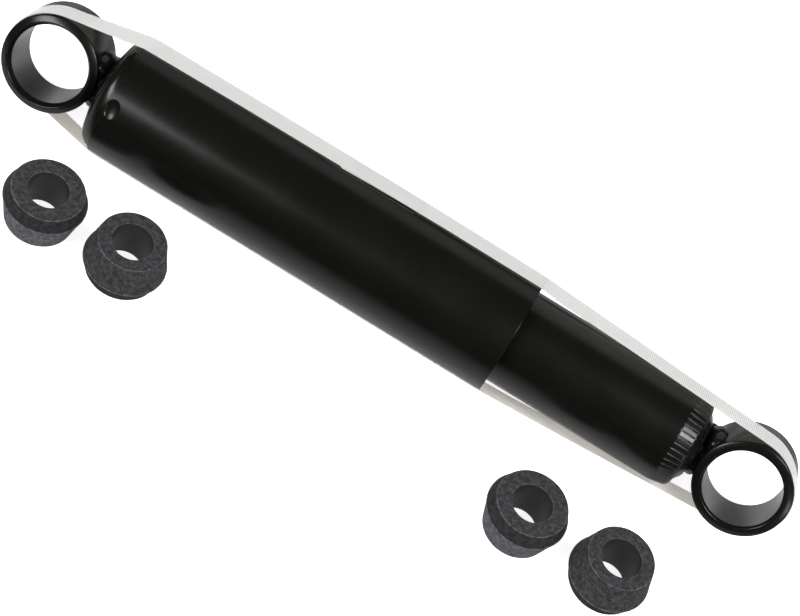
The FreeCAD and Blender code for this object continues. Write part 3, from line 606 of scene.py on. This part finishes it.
def strap_weave():
    """Pale woven polyester webbing: warp ridges along it, weft across it, and loose fibres."""
    material, tree, shader = new_material("pale_polyester_webbing")
    cloth = add_node(tree, "ShaderNodeTexCoord").outputs["UV"]
    weft = add_node(
        tree,
        "ShaderNodeTexWave",
        {"Vector": cloth, "Scale": WAVE_TURN / WEFT_PITCH, "Distortion": 0.6, "Detail": 1.0},
        bands_direction="X",
    )
    warp = add_node(
        tree,
        "ShaderNodeTexWave",
        {"Vector": cloth, "Scale": WAVE_TURN / WARP_PITCH, "Distortion": 0.4, "Detail": 1.0},
        bands_direction="Y",
    )
    yarns = add_node(
        tree,
        "ShaderNodeMath",
        {0: weft.outputs["Fac"], 1: warp.outputs["Fac"]},
        operation="MULTIPLY",
    )
    drawn = add_node(tree, "ShaderNodeMapping", {"Vector": cloth, "Scale": (FIBRE_STRETCH, 1.0, 1.0)})
    fibres = add_node(
        tree,
        "ShaderNodeTexNoise",
        {"Vector": drawn.outputs["Vector"], "Scale": 1 / FIBRE_SIZE, "Detail": 4.0},
    )
    shade = add_node(
        tree,
        "ShaderNodeMapRange",
        {
            "Value": fibres.outputs["Fac"],
            "From Min": NOISE_LOW,
            "From Max": NOISE_HIGH,
            "To Max": FIBRE_SHADE,
        },
    )
    fibre_colour = add_node(
        tree,
        "ShaderNodeMix",
        {
            MIX_FACTOR: shade.outputs["Result"],
            MIX_FIRST: linear("#F0F0EF"),
            MIX_SECOND: linear("#DDDBD8"),
        },
        data_type="RGBA",
    )
    # the gaps between the yarns are painted darker: painted shade in the hollows of the weave
    gaps = add_node(
        tree,
        "ShaderNodeMapRange",
        {"Value": yarns.outputs[0], "From Max": GAP_HEIGHT, "To Min": GAP_SHADE, "To Max": 0.0},
    )
    colour = add_node(
        tree,
        "ShaderNodeMix",
        {
            MIX_FACTOR: gaps.outputs["Result"],
            MIX_FIRST: fibre_colour.outputs[MIX_COLOUR],
            MIX_SECOND: linear("#BFBBB5"),
        },
        data_type="RGBA",
    )
    bump = add_node(tree, "ShaderNodeBump", {"Height": yarns.outputs[0], "Distance": YARN_HEIGHT})
    tree.links.new(colour.outputs[MIX_COLOUR], shader.inputs["Base Color"])
    tree.links.new(bump.outputs["Normal"], shader.inputs["Normal"])
    shader.inputs["Roughness"].default_value = WEBBING_ROUGHNESS
    shader.inputs["Specular IOR Level"].default_value = WEBBING_SHINE
    shader.inputs["Subsurface Weight"].default_value = LIGHT_THROUGH
    shader.inputs["Subsurface Radius"].default_value = LIGHT_SPREAD
    shader.inputs["Subsurface Scale"].default_value = LIGHT_REACH
    return material


print(strap_weave.__doc__)

# %% [markdown]
# ## Which piece has which finish
# The CAD record names a material slot for each piece. Finishes could be given piece by piece, but a
# table from slot to finish can't miss one, and pieces of one slot share one material.

# %% Give every CAD node its finish
finishes = {
    "black_paint": black_paint(),
    "bush_rubber": rubbers[0],
    "strap_weave": strap_weave(),
}
for slot, recipe in METALS.items():
    finishes[slot] = bare_metal(*recipe)
for slot, recipe in MOULDED.items():
    finishes[slot] = moulded_skin(*recipe)
for subpart in frame["record"]["subparts"]:
    mesh = nodes[subpart["node"]].data
    mesh.materials.clear()
    mesh.materials.append(finishes[subpart["material_slot"]])

# %% [markdown]
# ## How round pieces are turned
# Eyes, cap, springs and bushes are round. A spin of a profile would make them, but here a circle is
# extruded ring by ring, as on a potter's wheel, because each ring then has a radius and a height that
# can be read off. The edges are rounded afterwards with a bevel, picked by the ring that they lie on.

# %% Modelling helpers
NEAR = 0.01 * MM
CREASE = math.radians(14)


def use_modifier(piece, name, kind, **settings):
    """Adds a modifier, sets it and applies it, as with the Apply button."""
    modifier = piece.modifiers.new(name, kind)
    for key, setting in settings.items():
        setattr(modifier, key, setting)
    bpy.context.view_layer.objects.active = piece
    bpy.ops.object.modifier_apply(modifier=name)


def turned(name, rings, sides):
    """A closed round piece about Z: a circle, extruded through rings of (radius, height)."""
    bpy.ops.object.select_all(action="DESELECT")
    bpy.ops.mesh.primitive_circle_add(vertices=sides, radius=rings[0][0], location=(0, 0, rings[0][1]))
    piece = bpy.context.object
    piece.name = name
    bpy.ops.object.transform_apply(location=True)
    bpy.ops.object.mode_set(mode="EDIT")
    bpy.ops.mesh.select_all(action="SELECT")
    for (radius, height), (next_radius, next_height) in zip(rings, rings[1:] + rings[:1]):
        bpy.ops.mesh.extrude_region_move(TRANSFORM_OT_translate={"value": (0, 0, next_height - height)})
        bpy.ops.transform.resize(value=(next_radius / radius, next_radius / radius, 1.0))
    bpy.ops.mesh.select_all(action="SELECT")
    bpy.ops.mesh.remove_doubles(threshold=NEAR)
    bpy.ops.mesh.normals_make_consistent(inside=False)
    bpy.ops.object.mode_set(mode="OBJECT")
    return piece


def on_ring(point, rings):
    """Whether a vertex lies on one of the rings of that radius and height."""
    out, up = point.xy.length, point.z
    return any(abs(out - radius) < NEAR and abs(up - height) < NEAR for radius, height in rings)


def round_rings(piece, rings, offset, segments):
    """Bevels the edges that run round the piece on those rings."""
    bpy.ops.object.mode_set(mode="EDIT")
    bpy.ops.mesh.select_mode(type="EDGE")
    bpy.ops.mesh.select_all(action="DESELECT")
    bpy.ops.object.mode_set(mode="OBJECT")
    points = piece.data.vertices
    for edge in piece.data.edges:
        first, second = (points[i].co for i in edge.vertices)
        flat = abs(first.z - second.z) < NEAR and abs(first.xy.length - second.xy.length) < NEAR
        edge.select = flat and on_ring(first, rings)
    bpy.ops.object.mode_set(mode="EDIT")
    bpy.ops.mesh.bevel(offset=offset, segments=segments, affect="EDGES")
    bpy.ops.mesh.select_all(action="DESELECT")
    bpy.ops.object.mode_set(mode="OBJECT")


def hand_over(piece, node, body):
    """Lets a modelled piece stand for its CAD node: it joins the same body, and the node is hidden."""
    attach(piece, body)
    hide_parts(node)


print("ready to turn")

# %% [markdown]
# ## Eye rings
# An eye is a short ring, sawn from thick tube and turned on both faces. The tool leaves each face a
# little crowned: it falls from a ridge at the bore's mouth to the outside. The solid model has the
# ring with a flat face, and the photograph shows the crown, because only the top of the face
# catches the lamp. So both rings are turned again with the crown.

# %% Eye rings
EYE_SIDES = 128
EYE_BORE_R = 21.7 * MM
EYE_EDGE = 0.9 * MM
MOUTH_EDGE = 0.5 * MM
EYE_EDGE_STEPS = 3
MOUTH_LEAN = math.radians(33)
UPPER_LEAN = math.radians(27.6)
LOWER_LEAN = math.radians(29.7)
eye_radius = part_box("upper_eye")[1].x
lower_eye_x = sum(corner.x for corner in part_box("lower_eye")) / 2
EYES = (
    # node, body, place, lean, radius of the bore's mouth (mm),
    # half width at the outside and at the ridge (mm)
    ("upper_eye", "rod_side", 0.0, UPPER_LEAN, 23.6, 15.1, 16.9),
    ("lower_eye", "cylinder", lower_eye_x, LOWER_LEAN, 22.75, 15.5, 16.5),
)
for node, body, eye_x, lean, mouth, outside, ridge in EYES:
    mouth_r = mouth * MM
    throat = ridge * MM - (mouth_r - EYE_BORE_R) / math.tan(MOUTH_LEAN)
    half_rings = [(eye_radius, outside * MM), (mouth_r, ridge * MM), (EYE_BORE_R, throat)]
    other_half = [(radius, -height) for radius, height in reversed(half_rings)]
    eye = turned("crowned_" + node, other_half + half_rings, EYE_SIDES)
    outer_ring, mouth_ring = half_rings[:2]
    for (radius, height), rounding in ((outer_ring, EYE_EDGE), (mouth_ring, MOUTH_EDGE)):
        round_rings(eye, [(radius, height), (radius, -height)], rounding, EYE_EDGE_STEPS)
    eye.rotation_euler = (math.pi / 2 - lean, 0, 0)
    eye.location = (eye_x, 0, 0)
    bpy.ops.object.transform_apply(location=True, rotation=True)
    bpy.ops.object.shade_smooth_by_angle(angle=CREASE)
    eye.data.materials.append(finishes["black_paint"])
    hand_over(eye, node, body)
    print(eye.name, len(eye.data.polygons), "faces")

# %% [markdown]
# ## Dust cap
# The cap is drawn from sheet: a flat in the middle, a shallow cone, a large round corner and a skirt
# that goes into the dust tube. In the photograph the cone falls further than in the solid model, and
# the corner runs out right at the tube's edge, so the cap is turned again to that outline.

# %% Dust cap
CAP_SIDES = 128
CAP_BORE_R = 9.0 * MM
CAP_LAND_R = 17.0 * MM
CAP_R = 32.75 * MM
CAP_FALL = 4.4 * MM
CAP_CORNER = 5.8 * MM
CAP_CORNER_STEPS = 24
CAP_RIM = 11.0 * MM
CAP_TUCK = 1.5 * MM
CAP_WALL = 2.5 * MM
cap_low, cap_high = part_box("dust_cap")
skirt = cap_high.x - cap_low.x
corner_ring = (CAP_R, CAP_FALL)
cap = turned(
    "drawn_dust_cap",
    [
        (CAP_BORE_R, 0.0),
        (CAP_LAND_R, 0.0),
        corner_ring,
        (CAP_R, CAP_RIM),
        (CAP_R - CAP_TUCK, CAP_RIM + CAP_TUCK),
        (CAP_R - CAP_TUCK, skirt),
        (CAP_R - CAP_WALL, skirt),
        (CAP_R - CAP_WALL, CAP_RIM),
        (CAP_LAND_R, CAP_WALL),
        (CAP_BORE_R, CAP_WALL),
    ],
    CAP_SIDES,
)
round_rings(cap, [corner_ring], CAP_CORNER, CAP_CORNER_STEPS)
cap.rotation_euler = (0, math.pi / 2, 0)
cap.location = (cap_low.x, 0, 0)
bpy.ops.object.transform_apply(location=True, rotation=True)
bpy.ops.object.shade_smooth_by_angle(angle=CREASE)
cap.data.materials.append(finishes["black_paint"])
hand_over(cap, "dust_cap", "rod_side")
print(cap.name, len(cap.data.polygons), "faces")

# %% [markdown]
# ## Weld beads
# Each eye ring is pressed against a cap and welded on both sides of the line where they touch, so a
# bead lies in each groove, along the ring, and the neck between them is filled. A bead is a row of
# frozen puddles, so it is modelled as that: overlapping balls in a row, smaller towards the ends. The
# upper bead stops short of the front, and a long flat ball lies there, where the arc stopped. A voxel
# remesh melts them and the neck into one skin, and a smooth takes the steps off. Sculpting would do
# it too, but this can be repeated at both ends.

# %% Weld beads
PUDDLE_COUNT = 14
PUDDLE_SIDES, PUDDLE_RINGS = 24, 16
BEADS = (
    # side of the neck, how far out, radius of a puddle, back end and front end of the bead (mm)
    (1, 10.4, 4.4, -14.0, -1.0),
    (-1, 10.4, 4.4, -11.0, 9.0),
)
BEAD_FADE = 0.35
PUDDLE_SPREAD = 0.1 * MM
NECK_R = 11.5 * MM
NECK_SIDES = 64
END_R = 12.0 * MM
END_SIDES, END_RINGS = 32, 24
END_SLIM = 0.64
END_FLAT = 0.44
END_ROUND = math.radians(24)
END_ALONG = 1.5 * MM
WELD_VOXEL = 0.45 * MM
SMOOTH_ROUNDS = 24
SMOOTH_SHARE = 0.5


def weld_beads(name, node, body, eye_x, lean, seed):
    """Two beads along an eye ring, in the grooves beside its line of touch with the cap."""
    low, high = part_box(node)
    middle = (low + high) / 2
    draw = random.Random(seed)
    along = Vector((0, -math.cos(lean), math.sin(lean)))
    across = Vector((0, math.sin(lean), math.cos(lean)))
    toward_cap = math.copysign(1, middle.x - eye_x)
    cap_x = high.x if toward_cap > 0 else low.x
    bpy.ops.object.select_all(action="DESELECT")
    bpy.ops.mesh.primitive_cylinder_add(
        vertices=NECK_SIDES,
        radius=NECK_R,
        depth=high.x - low.x,
        location=(middle.x, 0, 0),
        rotation=(0, math.pi / 2, 0),
    )
    lumps = [bpy.context.object]
    for side, out, puddle, back, front in BEADS:
        groove_x = eye_x + toward_cap * math.sqrt(eye_radius**2 - (out * MM) ** 2)
        for step in range(PUDDLE_COUNT):
            share = step / (PUDDLE_COUNT - 1)
            full = 1 - BEAD_FADE * (2 * share - 1) ** 2
            spot = (
                Vector(((groove_x + cap_x) / 2, 0, 0))
                + along * (back + (front - back) * share) * MM
                + across * side * out * full * MM
                + Vector([draw.uniform(-PUDDLE_SPREAD, PUDDLE_SPREAD) for _ in range(3)])
            )
            bpy.ops.mesh.primitive_uv_sphere_add(
                segments=PUDDLE_SIDES,
                ring_count=PUDDLE_RINGS,
                radius=puddle * full * MM,
                location=spot,
            )
            lumps.append(bpy.context.object)
    outward = Vector((toward_cap * math.cos(END_ROUND), 0, 0)) + across * math.sin(END_ROUND)
    bpy.ops.mesh.primitive_uv_sphere_add(
        segments=END_SIDES,
        ring_count=END_RINGS,
        radius=END_R,
        location=Vector((eye_x, 0, 0)) + outward * eye_radius + along * END_ALONG,
        rotation=Matrix((along, outward.cross(along), outward)).transposed().to_euler(),
        scale=(1.0, END_SLIM, END_FLAT),
    )
    lumps.append(bpy.context.object)
    for lump in lumps:
        lump.select_set(True)
    bpy.context.view_layer.objects.active = lumps[0]
    bpy.ops.object.join()
    weld = bpy.context.object
    weld.name = name
    bpy.ops.object.transform_apply(location=True, rotation=True, scale=True)
    use_modifier(weld, "melt", "REMESH", mode="VOXEL", voxel_size=WELD_VOXEL)
    use_modifier(weld, "settle", "SMOOTH", factor=SMOOTH_SHARE, iterations=SMOOTH_ROUNDS)
    bpy.ops.object.shade_smooth()
    weld.data.materials.clear()
    weld.data.materials.append(finishes["black_paint"])
    hand_over(weld, node, body)
    print(name, len(weld.data.polygons), "faces")


weld_beads("upper_weld_beads", "upper_eye_weld", "rod_side", 0.0, UPPER_LEAN, seed=3)
weld_beads("lower_weld_beads", "lower_eye_weld", "cylinder", lower_eye_x, LOWER_LEAN, seed=8)

# %% [markdown]
# ## Star springs
# Inside, a star spring holds each check plate on its seat: a washer of spring steel, dished and
# slotted into six fingers. When the plate lifts, the fingers flatten, and a rigid spring would let the
# plate cut into it. Here each spring is turned again and boxes cut its slots, but it stays rigid: it
# is tied neither to the body that carries it nor to the plate.

# %% Star springs
SPRING_SIDES = 72
SPRING_SHEET = 0.6 * MM
SPRING_FLAT_R = 11.1 * MM
SPRING_TIP_R = 14.5 * MM
SLOT_COUNT = 6
SLOT_WIDTH = 4.0 * MM
SLOT_MIDDLE_R = SPRING_FLAT_R + SPRING_TIP_R / 2
SPRINGS = (
    # node, radius of its hole (mm), body that carries it, body of its plate
    ("piston_star_spring", 5.02, "rod_side", "piston_check"),
    ("base_star_spring", 3.02, "cylinder", "base_check"),
)
for node, hole, carrier, plate in SPRINGS:
    spring_low, spring_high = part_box(node)
    dish = spring_high.x - spring_low.x - SPRING_SHEET
    back_rings = [(hole * MM, 0.0), (SPRING_FLAT_R, 0.0), (SPRING_TIP_R, dish)]
    front_rings = [(radius, level + SPRING_SHEET) for radius, level in reversed(back_rings)]
    spring = turned("flexing_" + node, back_rings + front_rings, SPRING_SIDES)
    for step in range(SLOT_COUNT):
        turn = math.tau * step / SLOT_COUNT
        bpy.ops.mesh.primitive_cube_add(
            size=1.0,
            location=(SLOT_MIDDLE_R * math.cos(turn), SLOT_MIDDLE_R * math.sin(turn), 0),
            rotation=(0, 0, turn),
            scale=(SPRING_TIP_R, SLOT_WIDTH, SPRING_TIP_R),
        )
        cutter = bpy.context.object
        use_modifier(spring, "slot", "BOOLEAN", object=cutter, operation="DIFFERENCE", solver="EXACT")
        bpy.data.objects.remove(cutter)
    bpy.ops.object.select_all(action="DESELECT")
    spring.select_set(True)
    spring.rotation_euler = (0, math.pi / 2, 0)
    spring.location = (spring_low.x, 0, 0)
    bpy.ops.object.transform_apply(location=True, rotation=True)
    bpy.ops.object.shade_smooth_by_angle(angle=CREASE)
    spring.data.materials.clear()
    spring.data.materials.append(finishes["bright_steel"])
    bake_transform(spring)
    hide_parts(node)
    print(spring.name, len(spring.data.polygons), "faces")

# %% [markdown]
# ## Rubber bushes
# A bush is a tapered rubber ring with a collar: a wide end, a ridge where the two halves of the
# mould met, and a long taper to the narrow end. Its edges are crisp, as the mould's were. One bush is
# made, and the four that stand beside the tube are copies of it with meshes of their own.

# %% One bush
BUSH_HEIGHT = 26.0 * MM
BORE_R = 11.4 * MM
WIDE_R = 20.0 * MM
RIDGE_R = 22.7 * MM
RIDGE_AT = 8.3 * MM
NARROW_R = 18.75 * MM
BUSH_SIDES = 96
TAPER_STEPS = 7
EDGE_ROUND = 0.35 * MM
EDGE_STEPS = 3
BORE_ROUND = 0.3 * MM
BORE_STEPS = 2
taper = [step / TAPER_STEPS for step in range(1, TAPER_STEPS + 1)]
bush = turned(
    "bush",
    [(BORE_R, 0.0), (WIDE_R, 0.0), (RIDGE_R, RIDGE_AT)]
    + [(RIDGE_R + (NARROW_R - RIDGE_R) * t, RIDGE_AT + (BUSH_HEIGHT - RIDGE_AT) * t) for t in taper]
    + [(BORE_R, BUSH_HEIGHT)],
    BUSH_SIDES,
)
round_rings(bush, [(WIDE_R, 0.0), (NARROW_R, BUSH_HEIGHT)], EDGE_ROUND, EDGE_STEPS)
round_rings(bush, [(BORE_R, 0.0), (BORE_R, BUSH_HEIGHT)], BORE_ROUND, BORE_STEPS)
print("bush turned:", len(bush.data.polygons), "faces")

# %% [markdown]
# Where the halves of the mould met, a thin line of rubber was squeezed out. It could be a ring of its
# own, but it is one with the bush. So the ridge is bevelled in two steps, which gives it a ring in
# the middle, and that ring is scaled up a little.

# %% Pull out its mould line
FLASH_WIDE = 0.5 * MM
FLASH_STEPS = 2
FLASH_PROUD = 1.016
round_rings(bush, [(RIDGE_R, RIDGE_AT)], FLASH_WIDE, FLASH_STEPS)
widest = max(point.co.xy.length for point in bush.data.vertices)
for point in bush.data.vertices:
    point.select = abs(point.co.xy.length - widest) < NEAR
bpy.ops.object.mode_set(mode="EDIT")
bpy.ops.mesh.select_mode(type="VERT")
bpy.ops.transform.resize(value=(FLASH_PROUD, FLASH_PROUD, 1.0))
bpy.ops.object.mode_set(mode="OBJECT")
print("mould line at radius, mm:", round(widest * FLASH_PROUD / MM, 2))

# %% [markdown]
# Rubber that cooled in a mould is never quite true, so a soft noise moves its skin by a tenth of a
# millimetre or two. It has to be in the mesh, because the outline shows it. Then each face gets its
# finish, and a UV map in metres: how far round the bush it is, and how far along its outline.

# %% Uneven skin, finishes and a UV map
SKIN_LUMPS = 9 * MM
SKIN_DEPTH = 0.25 * MM
# name, dark colour, pale colour, roughness, grain size (mm)
BORE_SKIN = ("pin_moulded_bush_bore", "#20201F", "#30302D", 0.5, 1.2)
# which copy a face gets: plain, darker on the collar as painted shade, paler on edges and downward sides
# as painted light, or the bore's own
FACE, SHADED_COLLAR, PALE_LIT, BORE = range(4)
UPRIGHT = math.sin(math.radians(20))
LEVEL = math.cos(math.radians(8))
for rubber in rubbers:
    bush.data.materials.append(rubber)
bush.data.materials.append(moulded_skin(*BORE_SKIN))
around = bush.data.uv_layers.new(name="round_and_along")
for face in bush.data.polygons:
    slope = abs(face.normal.z)
    if slope > LEVEL:
        face.material_index = FACE
    elif slope < UPRIGHT and face.center.xy.length < BORE_R + BORE_ROUND / 2:
        face.material_index = BORE
    elif slope < UPRIGHT and face.center.z < RIDGE_AT:
        face.material_index = SHADED_COLLAR
    else:
        face.material_index = PALE_LIT
    middle = math.atan2(face.center.y, face.center.x)
    for corner, vertex in zip(face.loop_indices, face.vertices):
        point = bush.data.vertices[vertex].co
        turn = math.atan2(point.y, point.x)
        turn += round((middle - turn) / math.tau) * math.tau
        around.data[corner].uv = (turn * WIDE_R, point.xy.length + point.z)
lumps = bpy.data.textures.new("cooled_skin", "CLOUDS")
lumps.noise_scale = SKIN_LUMPS
use_modifier(bush, "cooled", "DISPLACE", texture=lumps, strength=SKIN_DEPTH, mid_level=0.5)
bpy.ops.object.shade_smooth_by_angle(angle=CREASE)
print("bush skin done")

# %% [markdown]
# The bushes stand in two pairs, one of each pair on its narrow end and one on its wide end. The CAD
# gives their places. Each copy is turned about its own axis too, or the same lumps would show four
# times. Where the wide end is up, the tapered sides face down to the sheet and keep the paler copy,
# painted light from the sheet; on the others they take the plain one.

# %% Stand the four bushes
BUSHES = (
    # node, which end is up, turn about its own axis in degrees, finish of its tapered side
    ("upper_bush_1", "wide", 20, PALE_LIT),
    ("upper_bush_2", "narrow", 115, FACE),
    ("lower_bush_1", "wide", 205, PALE_LIT),
    ("lower_bush_2", "narrow", 300, FACE),
)
for node, end_up, turn, side_finish in BUSHES:
    low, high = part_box(node)
    bpy.ops.object.select_all(action="DESELECT")
    copy = bush.copy()
    copy.data = bush.data.copy()
    copy.name = "moulded_" + node
    bpy.context.scene.collection.objects.link(copy)
    copy.select_set(True)
    bpy.context.view_layer.objects.active = copy
    flip = math.pi if end_up == "wide" else 0.0
    copy.rotation_euler = (flip, 0, math.radians(turn))
    foot = high.z if end_up == "wide" else low.z
    copy.location = ((low.x + high.x) / 2, (low.y + high.y) / 2, foot)
    bpy.ops.object.transform_apply(location=True, rotation=True, scale=True)
    # the tapered sides that face down keep the paler copy, painted light from the sheet
    for face in copy.data.polygons:
        if face.material_index == PALE_LIT and abs(face.normal.z) < UPRIGHT:
            face.material_index = side_finish
    hand_over(copy, node, "rod_side")
    print(copy.name, end_up, "end up")
bpy.data.objects.remove(bush)

# %% [markdown]
# ## Transport strap
# The strap is one length of webbing, laid round both eyes and joined with a lap on the upper side.
# It could follow a curve with a Curve modifier, but a curve turns the cloth where it likes. Here
# each length is cut flat at its true size, which also gives a UV map in metres, and is then wrapped:
# a point that lies so far along the cloth goes to the place that lies so far along the path. So the
# cloth never stretches. The path is straight along the dust tube and round on the eyes. The cloth
# leans with the eyes where it lies on them. Between them it lies a little flatter on top of the tube
# and slides to the back, and underneath it rests on the floor.

# %% The path of the strap
STRAP_WIDTH = 16.5 * MM
STRAP_THICK = 0.4 * MM
STRAP_OFF_EYE = 0.08 * MM
STRAP_OFF_TUBE = 0.15 * MM
STRAP_OFF_FLOOR = 0.05 * MM
UPPER_EYE_RUN = (
    # past the top of an eye (degrees), middle of the strap behind the middle of the eye (mm)
    (0, -4.2),
    (15, -4.6),
    (45, -4.8),
    (90, -2.0),
    (130, 2.0),
    (180, 5.0),
)
LOWER_EYE_RUN = (
    (0, -3.0),
    (15, -4.4),
    (30, -6.2),
    (45, -8.0),
    (90, -7.5),
    (130, 0.0),
    (180, 5.0),
)
UPPER_RUN = (
    # along the tube (mm), lean (degrees), middle of the strap behind the middle of the eyes (mm)
    (0, 27.6, -4.2),
    (42, 21.2, 3.9),
    (100, 23.2, 4.6),
    (155, 23.7, 5.1),
    (225, 25.8, 5.2),
    (286, 27.2, 3.7),
    (300, 24.6, 3.2),
    (340, 27.2, 1.6),
    (380, 29.2, -0.9),
    (433, 29.7, -3.0),
)
LOWER_RUN = (
    (0, 27.6, 5.0),
    (42, 32.0, 1.0),
    (286, 34.0, 1.8),
    (340, 33.2, 2.2),
    (433, 29.7, 5.0),
)
tube_low, tube_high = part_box("dust_tube")
ring_r = eye_radius + STRAP_OFF_EYE + STRAP_THICK / 2
run_height = tube_high.z + STRAP_OFF_TUBE + STRAP_THICK / 2
lowest = cad_low.z + STRAP_OFF_FLOOR + STRAP_THICK / 2


def straight(start, end):
    """A straight leg of the path: its length, and the place that lies a given way along it."""
    first, span = Vector(start), Vector(end) - Vector(start)
    return span.length, lambda way: first + span * (way / span.length)


def touch(centre, angle):
    """The place on an eye at that angle."""
    return centre + ring_r * math.cos(angle), ring_r * math.sin(angle)


def round_eye(centre, start, end):
    """A leg round an eye, from one angle to another: its length and its places."""
    length = ring_r * abs(end - start)
    return length, lambda way: Vector(touch(centre, start + (end - start) * way / length))


def touch_angle(centre, edge_x, side):
    """The angle on an eye at which a line from the tube's edge just touches it."""
    reach = math.hypot(edge_x - centre, run_height)
    return math.atan2(run_height, edge_x - centre) + side * math.acos(ring_r / reach)


upper_touch = touch_angle(0.0, tube_low.x, 1)
lower_touch = touch_angle(lower_eye_x, tube_high.x, -1)
touches = [round(math.degrees(angle), 1) for angle in (upper_touch, lower_touch)]
print("the strap meets the eyes at", touches, "degrees")

# %% [markdown]
# A flat grid is the cloth. Each of its points goes to its place on the path, leans as the cloth leans
# there, and stays above the floor. Tables give the lean and the sideways place at a few stops, as they
# were read along the strap, and between two stops they change evenly. Solidify then gives the cloth
# its thickness.

# %% Cut a length flat and wrap it
GRID_STEP = 3.0 * MM
STEPS_ACROSS = 8
STRAP_CREASE = math.radians(40)


def between(stops, at):
    """The values of a table of stops at a place between two of them."""
    for (start, *values), (end, *next_values) in zip(stops, stops[1:]):
        if at <= end:
            share = (at - start) / (end - start)
            return [value + (later - value) * share for value, later in zip(values, next_values)]


def cloth_at(x, height):
    """How the cloth leans at a place of the path, and how far it lies behind the eyes' middle."""
    if x <= 0 or x >= lower_eye_x:
        upper = x <= 0
        past_top = math.degrees(math.atan2(-x if upper else x - lower_eye_x, height))
        behind = between(UPPER_EYE_RUN if upper else LOWER_EYE_RUN, past_top)[0]
        return UPPER_LEAN if upper else LOWER_LEAN, behind * MM
    lean, behind = between(UPPER_RUN if height > 0 else LOWER_RUN, x / MM)
    return math.radians(lean), behind * MM


def wrapped(name, legs, shift):
    """A length of webbing, cut flat, wrapped along the legs and shifted up and back."""
    length = sum(leg[0] for leg in legs)
    bpy.ops.object.select_all(action="DESELECT")
    bpy.ops.mesh.primitive_grid_add(
        x_subdivisions=round(length / GRID_STEP),
        y_subdivisions=STEPS_ACROSS,
        size=1.0,
    )
    strip = bpy.context.object
    strip.name = name
    bpy.ops.transform.resize(value=(length, STRAP_WIDTH, 1.0))
    bpy.ops.object.transform_apply(scale=True)
    for corner in strip.data.uv_layers.active.data:
        corner.uv = (corner.uv.x * length, corner.uv.y * STRAP_WIDTH)
    for point in strip.data.vertices:
        way = point.co.x + length / 2
        across = point.co.y
        for leg_length, place in legs[:-1]:
            if way <= leg_length:
                break
            way -= leg_length
        else:
            place = legs[-1][1]
        x, height = place(way)
        up, back = shift(x, height)
        lean, behind = cloth_at(x, height)
        height += up
        sideways = across + behind + back
        level = height * math.cos(lean) - sideways * math.sin(lean)
        point.co = (x, height * math.sin(lean) + sideways * math.cos(lean), max(level, lowest))
    return strip, length


def finish_strap(strip, flat_length):
    """Gives the webbing its thickness and its finish, and says what it was cut to."""
    bpy.ops.object.select_all(action="DESELECT")
    strip.select_set(True)
    use_modifier(strip, "webbing", "SOLIDIFY", thickness=STRAP_THICK, offset=0.0)
    bpy.ops.object.shade_smooth_by_angle(angle=STRAP_CREASE)
    strip.data.materials.append(finishes["strap_weave"])
    print(strip.name, "cut to", round(flat_length / MM), "x", round(STRAP_WIDTH / MM, 1), "mm")


print("strap path ready")

# %% [markdown]
# The strap is cut into three lengths. The first comes from under the tube, goes round the upper eye
# and ends on top of the lap. The second lies under the lap and runs to the end of the tube. The third
# goes round the lower eye. At the lap the upper layer climbs over the end of the lower one, which lies
# a little askew.

# %% The three lengths of the strap
LAP_START = 162 * MM
LAP_END = 208 * MM
LAP_RAMP = 12 * MM
LAP_GAP = 0.05 * MM
TOP_ASIDE = -0.9 * MM
UNDER_ASIDE = -1.4 * MM


def on_lap(x, height):
    """The upper layer of the lap climbs over the end of the lower layer, and lies a little in front."""
    if height < 0:
        return 0.0, 0.0
    share = min(max((x - LAP_START + LAP_RAMP) / LAP_RAMP, 0.0), 1.0)
    eased = share * share * (3 - 2 * share)
    return (STRAP_THICK + LAP_GAP) * eased, TOP_ASIDE * eased


def under_lap(x, height):
    """The lower layer lies askew under the upper one."""
    return 0.0, UNDER_ASIDE * max((LAP_END - x) / (LAP_END - LAP_START), 0.0)


def unshifted(x, height):
    """A length that lies plainly on its path."""
    return 0.0, 0.0


upper_strip, upper_length = wrapped(
    "strap_round_upper_eye",
    [
        straight((tube_high.x, -run_height), (tube_low.x, -run_height)),
        straight((tube_low.x, -run_height), touch(0.0, -upper_touch)),
        round_eye(0.0, math.tau - upper_touch, upper_touch),
        straight(touch(0.0, upper_touch), (tube_low.x, run_height)),
        straight((tube_low.x, run_height), (LAP_END, run_height)),
    ],
    on_lap,
)
lap_strip, lap_length = wrapped(
    "strap_under_lap",
    [straight((LAP_START, run_height), (tube_high.x, run_height))],
    under_lap,
)
lower_strip, lower_length = wrapped(
    "strap_round_lower_eye",
    [
        straight((tube_high.x, run_height), touch(lower_eye_x, lower_touch)),
        round_eye(lower_eye_x, lower_touch, -lower_touch),
        straight(touch(lower_eye_x, -lower_touch), (tube_high.x, -run_height)),
    ],
    unshifted,
)
print("webbing in all, mm:", round((upper_length + lap_length + lower_length) / MM))

# %% [markdown]
# The strap crosses two joints: the rod side turns on the piston band, and the cylinder slides on the
# band. Here the lengths are given their thickness and finish and left where they lie; they are tied to
# neither body, so they neither twist nor stretch. On the real part the strap is cut before the rod
# comes out.

# %% Finish the strap
finish_strap(upper_strip, upper_length)
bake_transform(upper_strip)
finish_strap(lap_strip, lap_length)
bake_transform(lap_strip)
finish_strap(lower_strip, lower_length)
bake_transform(lower_strip)
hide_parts("transport_strap")

# %% [markdown]
# ## Size
# Dressing the part must not change its size. The CAD box and the box of the dressed part are both
# printed, so that they can be compared.

# %% Print the sizes
low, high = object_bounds()
print("dressed box, mm:", [round(side / MM, 1) for side in high - low])
